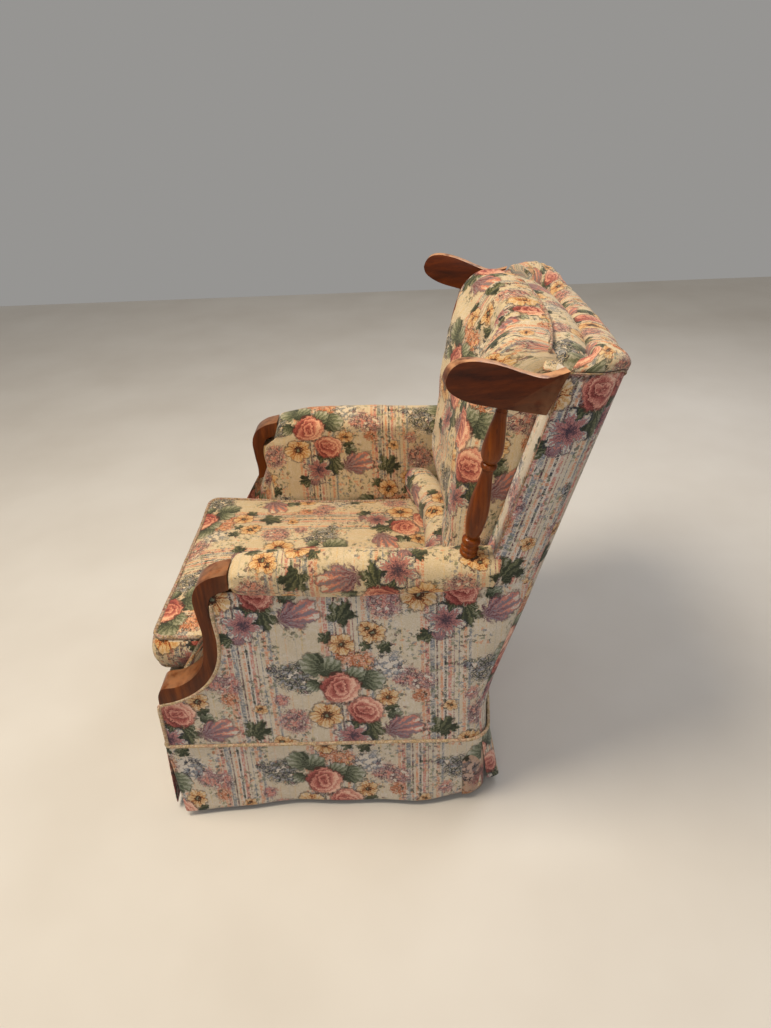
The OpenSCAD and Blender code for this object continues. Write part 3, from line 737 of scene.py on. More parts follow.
def tapestry(name, group, tint, folds=0.0):
    """The woven cloth; tint warms or cools it as painted light, folds adds fine creases."""
    m, n, bsdf = surface(name)
    weave = n.node("ShaderNodeGroup", node_tree=group)
    where = n.node("ShaderNodeTexCoord").outputs["Object"]
    soil = n.noise(where, 9.0, 3.0)
    colour = n.mix(1.0, weave.outputs["Color"], tint, "MULTIPLY")
    colour = n.mix(n.math("MULTIPLY", n.step(soil, 0.42, 0.7), 0.22), colour,
                   n.mix(1.0, colour, (0.80, 0.72, 0.60, 1.0), "MULTIPLY"))
    n.put(bsdf.inputs["Base Color"], colour)
    bsdf.inputs["Roughness"].default_value = 0.86
    bsdf.inputs["Sheen Weight"].default_value = 0.12
    bsdf.inputs["Sheen Roughness"].default_value = 0.5
    bsdf.inputs["Specular IOR Level"].default_value = 0.25
    height = weave.outputs["Height"]
    if folds:
        crease = n.noise(n.vec("MULTIPLY", where, (1.0, 1.0, 0.35)), 26.0, 2.0, 0.5, 0.6)
        height = n.math("ADD", height, n.math("MULTIPLY", crease, folds))
    bump(n, bsdf, height, 0.45, 0.0006)
    return m


def stained_wood(name, along, dark, mid, light, rough, wear_and_highlight=0.0):
    """Stained and lacquered wood with grain along one axis ('X', 'Y' or 'Z')."""
    m, n, bsdf = surface(name)
    where = n.node("ShaderNodeTexCoord").outputs["Object"]
    stretch = {"X": (0.08, 1.0, 1.0), "Y": (1.0, 0.08, 1.0), "Z": (1.0, 1.0, 0.08)}[along]
    lines = n.noise(n.vec("MULTIPLY", where, stretch), 95.0, 6.0, 0.62, 0.4)
    broad = n.noise(n.vec("MULTIPLY", where, stretch), 22.0, 3.0, 0.5, 1.2)
    pores = n.noise(n.vec("MULTIPLY", where, stretch), 420.0, 2.0)
    tone = n.math("MULTIPLY_ADD", lines, 0.6, n.math("MULTIPLY", broad, 0.5))
    colour = n.ramp(tone, [(0.34, dark), (0.54, mid), (0.74, light)])
    colour = n.mix(n.math("MULTIPLY", n.step(pores, 0.62, 0.72), 0.45), colour, dark)
    # Lighter on sharp edges, as rubbed wear, and on upward faces, as a painted highlight of the light from
    # above.
    if wear_and_highlight:
        shape = n.node("ShaderNodeNewGeometry")
        up = n.split(shape.outputs["Normal"])[2]
        edge = n.step(shape.outputs["Pointiness"], 0.52, 0.58)
        top = n.step(n.math("ADD", up, n.math("MULTIPLY_ADD", broad, 0.5, -0.25)), 0.45, 0.9)
        rub_and_highlight = n.math("MAXIMUM", top, edge)
        rub_and_highlight = n.math("MULTIPLY", rub_and_highlight, n.step(n.noise(where, 60.0, 4.0), 0.2, 0.6))
        colour = n.mix(n.math("MULTIPLY", rub_and_highlight, wear_and_highlight), colour, rgb(190, 140, 100))
    n.put(bsdf.inputs["Base Color"], colour)
    n.put(bsdf.inputs["Roughness"], n.math("MULTIPLY_ADD", broad, 0.12, rough - 0.06))
    bsdf.inputs["Coat Weight"].default_value = 0.08
    bsdf.inputs["Coat Roughness"].default_value = 0.12
    bsdf.inputs["Specular IOR Level"].default_value = 0.20
    bump(n, bsdf, lines, 0.12, 0.0006)
    return m


def plain_cloth(name, colour, scale):
    m, n, bsdf = surface(name)
    where = n.node("ShaderNodeTexCoord").outputs["Object"]
    x, y, z = n.split(n.scale(where, scale))
    weave = n.math("MULTIPLY", n.math("SINE", n.math("ADD", x, z)), n.math("SINE", y))
    spots = n.noise(where, 30.0, 3.0)
    n.put(bsdf.inputs["Base Color"], n.mix(n.math("MULTIPLY", spots, 0.6), colour,
                                           n.mix(1.0, colour, (0.6, 0.6, 0.6, 1.0), "MULTIPLY")))
    bsdf.inputs["Roughness"].default_value = 0.92
    bump(n, bsdf, weave, 0.3, 0.0004)
    return m


def metal(name, colour, rough):
    m, n, bsdf = surface(name)
    where = n.node("ShaderNodeTexCoord").outputs["Object"]
    marks = n.noise(where, 160.0, 3.0)
    n.put(bsdf.inputs["Base Color"], n.mix(n.math("MULTIPLY", marks, 0.35), colour,
                                           n.mix(1.0, colour, (0.5, 0.48, 0.45, 1.0), "MULTIPLY")))
    bsdf.inputs["Metallic"].default_value = 1.0
    n.put(bsdf.inputs["Roughness"], n.math("MULTIPLY_ADD", marks, 0.2, rough))
    return m


weave = tapestry_group()
# The inside and top copies carry a warm tint: painted warm light from above on the pieces that face up and
# inwards.
cloth_out = tapestry("tapestry_outside", weave, (1.0, 0.985, 0.97, 1.0))
cloth_in = tapestry("tapestry_inside", weave, (1.05, 0.93, 0.72, 1.0), folds=2.0)
cloth_top = tapestry("tapestry_warm_lit", weave, (1.06, 0.92, 0.68, 1.0), folds=1.2)
WOOD = (rgb(42, 15, 1), rgb(86, 37, 4), rgb(124, 61, 9))
wood_arm = stained_wood("wood_arm", "Z", *WOOD, 0.34, wear_and_highlight=0.35)
wood_wing = stained_wood("wood_wing", "Y", rgb(46, 16, 2), rgb(80, 32, 4), rgb(108, 48, 8), 0.40, wear_and_highlight=0.95)
wood_turned = stained_wood("wood_turned", "Z", rgb(50, 18, 2), rgb(100, 44, 4), rgb(138, 70, 10), 0.30)
timber = stained_wood("frame_timber", "X", rgb(150, 116, 76), rgb(186, 152, 108), rgb(206, 176, 134), 0.62)
timber_up = stained_wood("frame_timber_up", "Z", rgb(150, 116, 76), rgb(186, 152, 108),
                         rgb(206, 176, 134), 0.62)
leg_wood = stained_wood("leg_wood", "Z", *WOOD, 0.45)
steel = metal("spring_steel", rgb(150, 152, 156), 0.3)
brass = metal("zip_brass", rgb(176, 142, 82), 0.35)
black_cloth = plain_cloth("dust_cloth", rgb(36, 36, 38), 3000.0)
lining = plain_cloth("lining_cloth", rgb(150, 136, 112), 2600.0)
plastic = plain_cloth("glide_plastic", rgb(34, 34, 34), 400.0)


def welt_cloth(name, share, base, dark):
    """The welts' cloth: the same weave cut small, a cord with flecks of every thread."""
    m, n, bsdf = surface(name)
    where = n.node("ShaderNodeTexCoord").outputs["Object"]
    fleck = n.noise(where, 70.0, 4.0, 0.7)
    colour = n.ramp(fleck, [(0.28, NAVY), (0.36, MAUVE), (0.42, PEACH), (0.50, CREAM), (0.58, OCHRE),
                            (0.64, SAGE), (0.72, ROSE)])
    colour = n.mix(share, colour, base)
    ply = n.noise(where, 300.0, 2.0)
    colour = n.mix(n.step(ply, 0.62, 0.38), colour,
                   n.mix(1.0, colour, (dark, dark * 0.94, dark * 0.88, 1.0), "MULTIPLY"))
    n.put(bsdf.inputs["Base Color"], colour)
    bsdf.inputs["Roughness"].default_value = 0.85
    x, y, z = n.split(n.scale(where, 2600.0))
    bump(n, bsdf, n.math("SINE", n.math("ADD", x, n.math("ADD", y, z))), 0.3, 0.0004)
    return m


cloth_cord = welt_cloth("tapestry_cord", 0.35, rgb(120, 84, 56), 0.5)
cloth_welt = welt_cloth("tapestry_welt", 0.45, rgb(196, 172, 136), 0.6)

# ---------------------------------------------------------------- seat cushion

SEAT_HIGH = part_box("seat_cushion")[1]
SLOPE = math.radians(2)
CUSHION_W = SEAT_HIGH.x
CUSHION_D = 0.565
CUSHION_T = 0.078
SEAT_Z = 0.308


def seat(x, y, z):
    """A point given in the seat's own frame, from the cushion's lower front edge."""
    return Vector((x, cad_low.y + y * math.cos(SLOPE) + z * math.sin(SLOPE),
                   SEAT_Z - y * math.sin(SLOPE) + z * math.cos(SLOPE)))


def cushion_outline(inset=0.0, pull=0.004, corner=0.026, steps=12):
    """Plan of the cushion: rounded corners, with the sides pulled in a little between them."""
    w, d, r = CUSHION_W - inset, CUSHION_D - 2 * inset, corner
    pts = []
    for cx, cy, start in [(w - r, inset + r, -90), (w - r, inset + d - r, 0),
                          (-w + r, inset + d - r, 90), (-w + r, inset + r, 180)]:
        for k in range(steps + 1):
            a = math.radians(start + 90 * k / steps)
            pts.append((cx + r * math.cos(a), cy + r * math.sin(a)))
    out = []
    for (x0, y0), (x1, y1) in zip(pts, pts[1:] + pts[:1]):
        long = math.hypot(x1 - x0, y1 - y0)
        n = max(1, int(long / 0.02))
        for k in range(n):
            t = k / n
            x, y = x0 + (x1 - x0) * t, y0 + (y1 - y0) * t
            dent = pull * math.sin(math.pi * t) if n > 3 else 0.0
            nx, ny = (y1 - y0) / long, -(x1 - x0) / long
            out.append((x - nx * dent, y - ny * dent))
    return out


def make_cushion():
    plan = cushion_outline(0.004)
    bm = bmesh.new()
    bottom = [bm.verts.new(seat(x, y, 0.002)) for x, y in plan]
    face = bm.faces.new(bottom)
    top = bmesh.ops.extrude_face_region(bm, geom=[face])
    up = seat(0, 0, CUSHION_T - 0.004) - seat(0, 0, 0)
    for v in [e for e in top["geom"] if isinstance(e, bmesh.types.BMVert)]:
        v.co += up
    bmesh.ops.recalc_face_normals(bm, faces=bm.faces)
    mesh = bpy.data.meshes.new("seat_cushion_soft")
    bm.to_mesh(mesh)
    bm.free()
    o = link("seat_cushion_soft", mesh)
    remeshed(o, 0.0085)
    origin = seat(0, 0, 0)
    axis_z = (seat(0, 0, 1) - origin).normalized()

    def hold(p):
        z = (Vector(p) - origin).dot(axis_z)
        near_seam = max(0.0, 1 - min(abs(z - 0.002), abs(z - CUSHION_T + 0.002)) / 0.010)
        y = p[1] - cad_low.y
        rim = min(CUSHION_W - abs(p[0]), y, CUSHION_D - y) < 0.012
        return min(1.0, near_seam * 1.2) if rim else (0.75 if z < 0.01 else 0.0)

    inflate(o, 0.017, hold, pressure=5.0)
    relax(o, 3)
    co = points_of(o)
    for k, p in enumerate(co):
        z = (Vector(p) - origin).dot(axis_z)
        y = p[1] - cad_low.y
        to_side, to_front, to_rear = CUSHION_W - abs(p[0]), y, CUSHION_D - y
        hill = math.sin(math.pi * min(max(z / CUSHION_T, 0.0), 1.0)) ** 0.8
        bulge = 0.007 + 0.009 * smooth(0.14, 0.05, y)
        co[k][0] += math.copysign(bulge * hill * smooth(0.05, 0.0, to_side), p[0])
        co[k][1] += (-0.012 * smooth(0.05, 0.0, to_front) + 0.004 * smooth(0.05, 0.0, to_rear)) * hill
    set_points(o, co)
    crumple(o, 0.16, 0.0035, 3.0)
    crumple(o, 0.045, 0.0012, 8.0)
    modify(o, "SUBSURF", levels=1, render_levels=1)
    apply_all(o)

    def place(p, n):
        if n.z > 0.62 or n.z < -0.62:
            return p.x + 0.163, p.y + 0.429
        if abs(n.x) > abs(n.y):
            return p.y + 0.02, p.z + 0.09
        return p.x + 0.03, p.z - 0.46

    lay_cloth(o, place)
    dress(o, cloth_top, CUSHION, ["seat_cushion"])
    for name, z in (("cushion_welt_top", CUSHION_T - 0.003), ("cushion_welt_low", 0.003)):
        path = [seat(x, y, z) for x, y in cushion_outline(0.002)]
        path = snug(path, o, 0.0012)
        welt = tube(name, path, 0.0042, closed=True)
        dress(welt, cloth_cord, CUSHION)


make_cushion()

# ---------------------------------------------------------------- arms

PAD_MID = (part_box("arm_pad_left")[0].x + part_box("arm_pad_left")[1].x) / 2
PAD_HALF = 0.0405
PAD_FRONT = -0.249
PAD_TOP = [(-0.250, 0.580), (-0.215, 0.590), (-0.168, 0.596), (-0.064, 0.597), (0.047, 0.592),
           (0.142, 0.588), (0.24, 0.588)]
PAD_LOW = [(-0.250, 0.540), (-0.225, 0.531), (-0.194, 0.523), (-0.058, 0.513), (0.096, 0.517),
           (0.177, 0.524), (0.24, 0.527)]


def mirrored(o, name):
    """The other side's copy."""
    mesh = o.data.copy()
    twin = link(name, mesh)
    co = points_of(twin)
    co[:, 0] *= -1
    set_points(twin, co)
    mesh.flip_normals()
    return twin


FACING_EDGE = [(0.172, -0.4205), (0.280, -0.4205), (0.286, -0.4135), (0.296, -0.3735), (0.319, -0.3335),
               (0.352, -0.3055),
               (0.386, -0.2905), (0.424, -0.2845), (0.458, -0.2855), (0.490, -0.2895), (0.513, -0.2865)]


def edge_y(z):
    """Where the arm panels start behind the facing, at a height."""
    if z > 0.490:
        return curve_at([(0.490, -0.2890), (0.513, -0.2865), (0.530, -0.277), (0.541, -0.250)], z)
    return -0.4205 if z < 0.286 else curve_at(FACING_EDGE[2:], z)


STEPS = 14
SEAM_K = STEPS + 8                       # where the side panels meet the outside back


def body_outline(z):
    """The covers' outline in plan at a height: the leaning barrel, flaring to the straighter base."""
    t = min(max((z - SKIRT_TOP) / 0.30, 0.0), 1.0)
    w = (1 - t) ** 3
    half = HALF_W - 0.005 * smooth(0.50, 0.52, z)
    up = rear_outline(half, BACK_REAR, CREST_CORNER, BACK_SAG, -0.2, STEPS)
    low = rear_outline(HALF_W, 0.221, 0.047, BASE_SAG, -0.2, STEPS)
    out = []
    for (x, yl), (xb, yb) in zip(up, low):
        zl = (z + yl * SIN) / COS
        y = FOOT_Y + yl * COS + zl * SIN
        out.append(Vector((x * (1 - w) + xb * w, y * (1 - w) + yb * w, z)))
    return out


def make_outside_arm():
    rows = []
    z_top = ARM_TOP + 0.018
    levels = [SKIRT_TOP + (z_top - SKIRT_TOP) * i / 44 for i in range(45)]
    for z in levels:
        outline = body_outline(z)
        corner = outline[STEPS]
        row = []
        for k in range(50):
            y = edge_y(z) + (corner.y - edge_y(z)) * k / 50
            inside = math.sin(math.pi * k / 50) * math.sin(math.pi * (z - SKIRT_TOP) / (z_top - SKIRT_TOP))
            row.append(Vector((corner.x + 0.0016 * inside + 0.0007 * noise(Vector((y, z, 0)) * 11), y, z)))
        row += outline[STEPS:SEAM_K + 1]
        rows.append(row)
    arcs = [lengths(r) for r in rows]
    rose = (0.071, 0.315)                # where the larger rose sits on the panel

    def uv(i, j):
        return rows[i][0].y + arcs[i][j] + rose[0], rows[i][0].z - rose[1]

    o = grid("outside_arm_soft_left", rows, uv)
    modify(o, "SOLIDIFY", thickness=0.004, offset=-1.0 if o.data.polygons[0].normal.x > 0 else 1.0)
    apply_all(o)
    twin = mirrored(o, "outside_arm_soft_right")
    dress(o, cloth_out, CHAIR, ["outside_arm_left"])
    dress(twin, cloth_out, CHAIR, ["outside_arm_right"])
    path = [Vector((HALF_W + 0.0005, edge_y(z) + 0.003, z))
            for z in [SKIRT_TOP + 0.006 + k * 0.01 for k in range(12)]]
    path += [Vector((HALF_W + 0.0005, p[1] + 0.0035, p[0] - 0.0035)) for p in FACING_EDGE[2:]]
    for name, sign in (("facing_welt_left", 1), ("facing_welt_right", -1)):
        welt = tube(name, [Vector((sign * p.x, p.y, p.z)) for p in path], 0.0036)
        dress(welt, cloth_welt, CHAIR)


COVER_START = [(0.490, -0.2890), (0.513, -0.2865), (0.530, -0.277), (0.541, -0.250), (0.60, -0.248)]


def cover_ends(z):
    """Where the arm's cover begins behind the facing and ends at the back, at a height."""
    start = edge_y(z) + 0.001 if z < 0.49 else curve_at(COVER_START, z) + 0.001
    return start, FOOT_Y + 0.018 * COS + (z + 0.018 * SIN) / COS * SIN


def make_arm_cover():
    """The cover that runs from under the arm's outer edge over its padded top and down its inside."""
    rings = []
    n_rings, n_arc, n_down = 70, 38, 26
    z_low = 0.262
    for i in range(n_rings):
        t = i / (n_rings - 1)
        ring = []
        y_mid = PAD_FRONT + (0.21 - PAD_FRONT) * t
        top, low = curve_at(PAD_TOP, y_mid), curve_at(PAD_LOW, y_mid)
        mid = (top + low) / 2
        round_end = min(t / 0.03, 1.0)
        size = 0.84 + 0.16 * math.sqrt(max(0.0, 1 - (1 - round_end) ** 2))
        for k in range(n_arc):
            degrees = -75 + 255 * k / (n_arc - 1)
            a = math.radians(degrees)
            shrink = 1 - (1 - size) * (1 - smooth(120, 180, degrees))
            c, q = math.cos(a), math.sin(a)
            ex = math.copysign(abs(c) ** 0.80, c)
            ez = math.copysign(abs(q) ** (0.80 if q > 0 else 0.72), q)
            x = PAD_MID + PAD_HALF * shrink * ex
            z = mid + (top - low) / 2 * shrink * ez
            ring.append((x, z))
        last_x, last_z = ring[-1]
        for k in range(1, n_down):
            f = k / (n_down - 1)
            z = last_z + (z_low - last_z) * f
            puff = 0.0035 * math.sin(math.pi * t) * math.sin(math.pi * smooth(0.1, 1.0, f))
            x = last_x + (ARM_INNER + 0.001 - last_x) * smooth(0.0, 0.25, f) - puff
            ring.append((x, z))
        ring += [(ARM_INNER + 0.012, z_low), (ARM_INNER + 0.012, 0.38), (ARM_INNER + 0.012, 0.505),
                 (PAD_MID, low + 0.004)]
        placed = []
        for x, z in ring:
            start, end = cover_ends(z)
            if x < ARM_INNER + 0.009:
                start += 0.014 * smooth(0.46, 0.39, z)
            y = start + (end - start) * t
            placed.append(Vector((x, y, z)))
        rings.append(placed)
    crown = n_arc // 2
    arcs = [lengths(r + r[:1]) for r in rings]
    o = grid("arm_cover_left", rings,
             lambda i, j: (ARM_U - rings[i][j % len(rings[i])].y, ARM_V - arcs[i][j] + arcs[i][crown]),
             close_columns=True, cap=True)

    def hold(p):
        start, end = cover_ends(p[2])
        ends = max(0.0, 1 - (p[1] - start) / 0.02, 1 - (end - p[1]) / 0.03)
        tucked = 1.0 if p[0] > ARM_INNER + 0.009 and p[2] < 0.53 else 0.0
        return min(1.0, max(ends, tucked))

    inflate(o, 0.004, hold, pressure=3.0)

    def settle(p):
        front = smooth(0.06, 0.0, p.y - PAD_FRONT)
        pleat = math.sin(p.z * 260 + p.x * 60) * 0.0012 * front
        return 0.0020 * noise(p * 14) + 0.0010 * noise(p * 45) + pleat

    displace(o, settle)
    modify(o, "SUBSURF", levels=1, render_levels=1)
    apply_all(o)
    twin = mirrored(o, "arm_cover_right")
    # the flowers stand upright on the inside of both arms
    recloth(twin, lambda c: np.stack([ARM_U + FAR_ARM_U - c[:, 0], c[:, 1] + FAR_ARM_V - ARM_V, c[:, 2]],
                                     1))
    dress(o, cloth_top, CHAIR, ["arm_pad_left", "inside_arm_left"])
    dress(twin, cloth_top, CHAIR, ["arm_pad_right", "inside_arm_right"])


ARM_U, ARM_V = 0.236, 0.134
FAR_ARM_U, FAR_ARM_V = 0.169, 0.090
make_outside_arm()
make_arm_cover()

# ---------------------------------------------------------------- back

PILLOW_HALF = 0.284
PILLOW_SIDE = [(0.000, 0.479), (0.034, 0.484), (0.058, 0.530), (0.074, 0.600), (0.090, 0.680),
               (0.104, 0.760),
               (0.112, 0.840), (0.108, 0.905), (0.084, 0.948), (0.040, 0.966), (0.0, 0.964)]
BUTTON_Z = 0.862
BUTTON_DEEP = 0.034


def valley_y(x):
    return 0.077 - 0.039 * (x / 0.345) ** 2


def welt_y(x):
    return 0.014 - 0.046 * (x / 0.345) ** 2


def pillow_point(x, s):
    """A point of the puffed pillow: s runs from its bottom up the front and over the top to the welt."""
    keys = PILLOW_SIDE
    n = len(keys) - 1
    t = s * n
    depth = curve_at([(k, p[0]) for k, p in enumerate(keys)], t)
    z = curve_at([(k, p[1]) for k, p in enumerate(keys)], t)
    side = abs(x) / PILLOW_HALF
    barrel = 0.64 + 0.36 * min(1.0, (x / 0.245) ** 2)
    lobe = 1 - 0.16 * math.exp(-(x / 0.040) ** 2) * smooth(0.50, 0.60, z) * smooth(0.97, 0.90, z)
    close = math.sqrt(max(0.0, 1 - max(0.0, (side - 0.80) / 0.20) ** 2.2))
    back = arc_y(0.052, x, BACK_SAG)
    front = -depth * barrel * lobe
    dx, dz = x, z - BUTTON_Z
    r = math.hypot(dx, dz * (0.8 if dz < 0 else 1.0))
    tuft = math.exp(-(r / 0.046) ** 1.5)
    front += (max(0.0, -front - BUTTON_DEEP)) * tuft
    a = math.atan2(dz, dx)
    near_button = math.exp(-((r - 0.05) / 0.05) ** 2)
    uneven = 0.6 + 0.4 * noise(Vector((a, 3.0, 0.0)))
    rays = math.sin(9 * a + 2 * noise(Vector((x * 9, z * 9, 0))))
    folds = 0.0042 * near_button * uneven * rays
    beside = math.exp(-((abs(x) - 0.12) / 0.10) ** 2)
    drag = 0.0045 * math.sin(z * 70 + 10 * abs(x)) * beside * smooth(0.82, 0.60, z)
    slant = 26 * (z - 0.9) * (1 if x > 0 else -1)
    gather = 0.0045 * math.sin(x * 185 + slant) * smooth(0.86, 0.91, z) * smooth(0.24, 0.14, abs(x))
    front -= folds + drag * 0.7
    z += gather * 0.8
    front -= gather * 0.5
    welt = welt_y(x)
    over = smooth(0.80, 1.0, s)
    y = back + (front - back) * close
    y = y * (1 - over) + (welt if s > 0.999 else (welt * over + y * (1 - over))) * over
    z -= (1 - close) * (z - 0.72) * 0.10
    return lean(x, y, z)


PILLOW_U, PILLOW_V = 0.13, -0.33


def make_pillow():
    n_x, n_s = 120, 96
    rings = []
    for i in range(n_x):
        x = -PILLOW_HALF + 2 * PILLOW_HALF * i / (n_x - 1)
        ring = [pillow_point(x, k / (n_s - 1)) for k in range(n_s)]
        back = arc_y(0.050, x, BACK_SAG)
        for k in range(1, 8):
            z = 0.955 + (0.479 - 0.955) * k / 8
            ring.append(lean(x, back, z))
        rings.append(ring)
    arcs = [lengths(r) for r in rings]
    mid = n_x // 2
    across = [lengths([r[j] for r in rings]) for j in range(len(rings[0]))]

    def uv(i, j):
        i, j = i % n_x, min(j, len(rings[0]) - 1)
        return across[j][i] - across[j][mid] + PILLOW_U, arcs[i][j] + PILLOW_V

    o = grid("back_pillow_soft", rings, uv, close_columns=True, cap=True)

    def hold(p):
        q = unlean(p)
        r = math.hypot(q.x, q.z - BUTTON_Z)
        return min(1.0, max(smooth(0.06, 0.025, r), 1.0 if q.y > 0.0 else 0.0,
                            smooth(0.06, 0.02, abs(q.x)) * 0.6))

    inflate(o, 0.006, hold, pressure=3.0)
    crumple(o, 0.05, 0.0022, 5.0)
    crumple(o, 0.11, 0.0035, 9.0)
    modify(o, "SUBSURF", levels=1, render_levels=1)
    apply_all(o)
    dress(o, cloth_in, CHAIR, ["back_pillow"])
    path = [lean(x, welt_y(x), 0.9655 - 0.012 * (abs(x) / 0.28) ** 4)
            for x in [-0.278 + 0.556 * k / 40 for k in range(41)]]
    welt = tube("pillow_welt", path, 0.0030)
    dress(welt, cloth_cord, CHAIR)


def make_pillow_top():
    """The padded strip between the pillow's welt and the crest."""
    rings = []
    n_x = 90
    for i in range(n_x):
        x = -0.296 + 0.592 * i / (n_x - 1)
        a, b = welt_y(x) - 0.002, valley_y(x) + 0.004
        end = math.sqrt(max(0.0, 1 - (abs(x) / 0.298) ** 10))
        ring = []
        for k in range(17):
            t = k / 16
            hill = 0.011 * math.sin(math.pi * t) ** 0.8 * end
            pucker = 0.0016 * math.sin(x * 150 + 4 * noise(Vector((x * 10, t, 1)))) * math.sin(math.pi * t)
            drop = 0.014 * (abs(x) / 0.296) ** 4 + 0.012 * smooth(0.266, 0.296, abs(x))
            ring.append(lean(x, a + (b - a) * t, 0.954 - drop + hill + pucker))
        for k in range(5):
            ring.append(lean(x, b + (a - b) * k / 4, 0.925))
        rings.append(ring)
    arcs = [lengths(r) for r in rings]
    o = grid("pillow_top_soft", rings, lambda i,
             j: (arcs[i % n_x][min(j, 20)] + 0.075, rings[i % n_x][0].x + 0.05),
             close_columns=True, cap=True)
    modify(o, "SUBSURF", levels=1, render_levels=1)
    apply_all(o)
    dress(o, cloth_in, CHAIR)


def crest_seam(x, y):
    """Height of the seam under the crest, along the lean: higher at the sides than round the back."""
    side = smooth(0.24, 0.335, abs(x))
    return CREST_LOW + side * (0.0115 + 0.22 * min(max(y, 0.0), 0.085))


def make_crest():
    outer = rear_outline(FRAME_HALF + 0.001, CREST_REAR, CREST_CORNER, BACK_SAG, 0.004, 22)
    sewn = rear_outline(FRAME_HALF + 0.0005, BACK_REAR + 0.001, CREST_CORNER, BACK_SAG, 0.004, 22)
    count = len(outer)
    path = lengths([(x, y, 0) for x, y in outer])
    rings = []
    for i, (x, y) in enumerate(outer):
        t = path[i] / path[-1]
        xi = CREST_INNER * (1 - 2 * t)
        yi = valley_y(xi)
        inner_p, outer_p = Vector((xi, yi - 0.003, 0)), Vector((x, y, 0))
        fade = smooth(0.0, 0.06, min(t, 1 - t))
        ring = []
        for k in range(25):
            a = math.pi * k / 24
            across = 0.5 - 0.5 * math.cos(a)
            p = inner_p.lerp(outer_p, across)
            rise = 0.019 * fade + 0.006
            ends = min(1.0, abs(p.x) / 0.34) ** 2
            edge = crest_seam(outer_p.x, outer_p.y) + 0.004
            base = (0.947 + 0.017 * ends) * (1 - across ** 6) + edge * across ** 6
            height = base + rise * math.sin(a) ** 0.75
            p = p.lerp(Vector((*sewn[i], 0)), 0.7 * smooth(0.96, 1.0, across))
            wander = 5 * noise(Vector((path[i] * 14, 0, 2)))
            pucker = 0.0020 * math.sin(path[i] * 210 + wander) * math.sin(a) ** 2
            wave = 0.0020 * noise(Vector((path[i] * 22, across * 3, 7)))
            ring.append(lean(p.x, p.y, height + pucker + wave))
        drop = Vector((*sewn[i], 0))
        ring.append(lean(drop.x, drop.y, crest_seam(drop.x, drop.y)))
        ring.append(lean(inner_p.x, inner_p.y, CREST_LOW))
        rings.append(ring)
    arcs = [lengths(r) for r in rings]
    o = grid("crest_roll_soft", rings, lambda i,
             j: (path[i % count] + 0.03, arcs[i % count][min(j, 26)] - 0.10),
             close_columns=True, cap=True)
    modify(o, "SUBSURF", levels=1, render_levels=1)
    apply_all(o)
    dress(o, cloth_in, CHAIR, ["crest_roll"])
    seam = [lean(x * 1.002, y, crest_seam(x, y) + 0.0005) for x, y in sewn]
    dress(tube("crest_seam", seam, 0.0014), cloth_cord, CHAIR)


def make_side_border():
    low, high = 0.535, BACK_LENGTH
    outline = rear_outline(FRAME_HALF, BACK_REAR, CREST_CORNER, BACK_SAG, 0.0, STEPS)[:SEAM_K + 1]
    plan = [(0.289 + (FRAME_HALF - 0.004 - 0.289) * k / 8, 0.0) for k in range(8)]
    plan += [(FRAME_HALF - 0.003, 0.001)] + [(x, y) for x, y in outline[1:]]
    rows = []
    for i in range(40):
        row = []
        for x, y in plan:
            z = low + (crest_seam(x, y) - low) * i / 39
            soft = 0.0012 * noise(Vector((x, y, z)) * 14)
            row.append(lean(x + soft, y - soft, z))
        rows.append(row)
    arcs = lengths(rows[0])
    o = grid("side_border_soft_left", rows, lambda i,
             j: (arcs[j] - 0.081, low + (high - low) * i / 39 - 0.966))
    modify(o, "SOLIDIFY", thickness=0.006, offset=-1.0)
    apply_all(o)
    twin = mirrored(o, "side_border_soft_right")
    dress(o, cloth_out, CHAIR, ["side_border_left"])
    dress(twin, cloth_out, CHAIR, ["side_border_right"])
    for name, sign in (("border_seam_left", 1), ("border_seam_right", -1)):
        path = [lean(sign * (FRAME_HALF - 0.002), 0.0015, low + (high - low) * k / 20) for k in range(21)]
        dress(tube(name, path, 0.0014), cloth_cord, CHAIR)


def make_outside_back():
    rows = []
    top = rear_outline(FRAME_HALF, BACK_REAR, CREST_CORNER, BACK_SAG, -0.2, STEPS)
    last = len(top) - 1 - SEAM_K
    ends = [lean(x, y, crest_seam(x, y)) for x, y in top[SEAM_K:last + 1]]
    highest = max(p.z for p in ends)
    levels = [SKIRT_TOP + (highest - SKIRT_TOP) * i / 49 for i in range(50)]
    outlines = [body_outline(z)[SEAM_K:last + 1] for z in levels]
    for i in range(50):
        row = []
        for k, end in enumerate(ends):
            z = SKIRT_TOP + (end.z - SKIRT_TOP) * i / 49
            t = min(max((z - levels[0]) / (levels[-1] - levels[0]) * 49, 0.0), 49.0)
            a = min(int(t), 48)
            p = outlines[a][k].lerp(outlines[a + 1][k], t - a)
            row.append(Vector((p.x, p.y, z)))
        rows.append(row)
    arcs = lengths(rows[0])
    o = grid("outside_back_soft", rows, lambda i, j: (arcs[j] + 0.02, rows[i][j].z - 0.40))
    modify(o, "SOLIDIFY", thickness=0.004,
           offset=-1.0 if o.data.polygons[len(o.data.polygons) // 2].normal.y > 0 else 1.0)
    apply_all(o)
    dress(o, cloth_out, CHAIR, ["outside_back", "rear_wrap"])


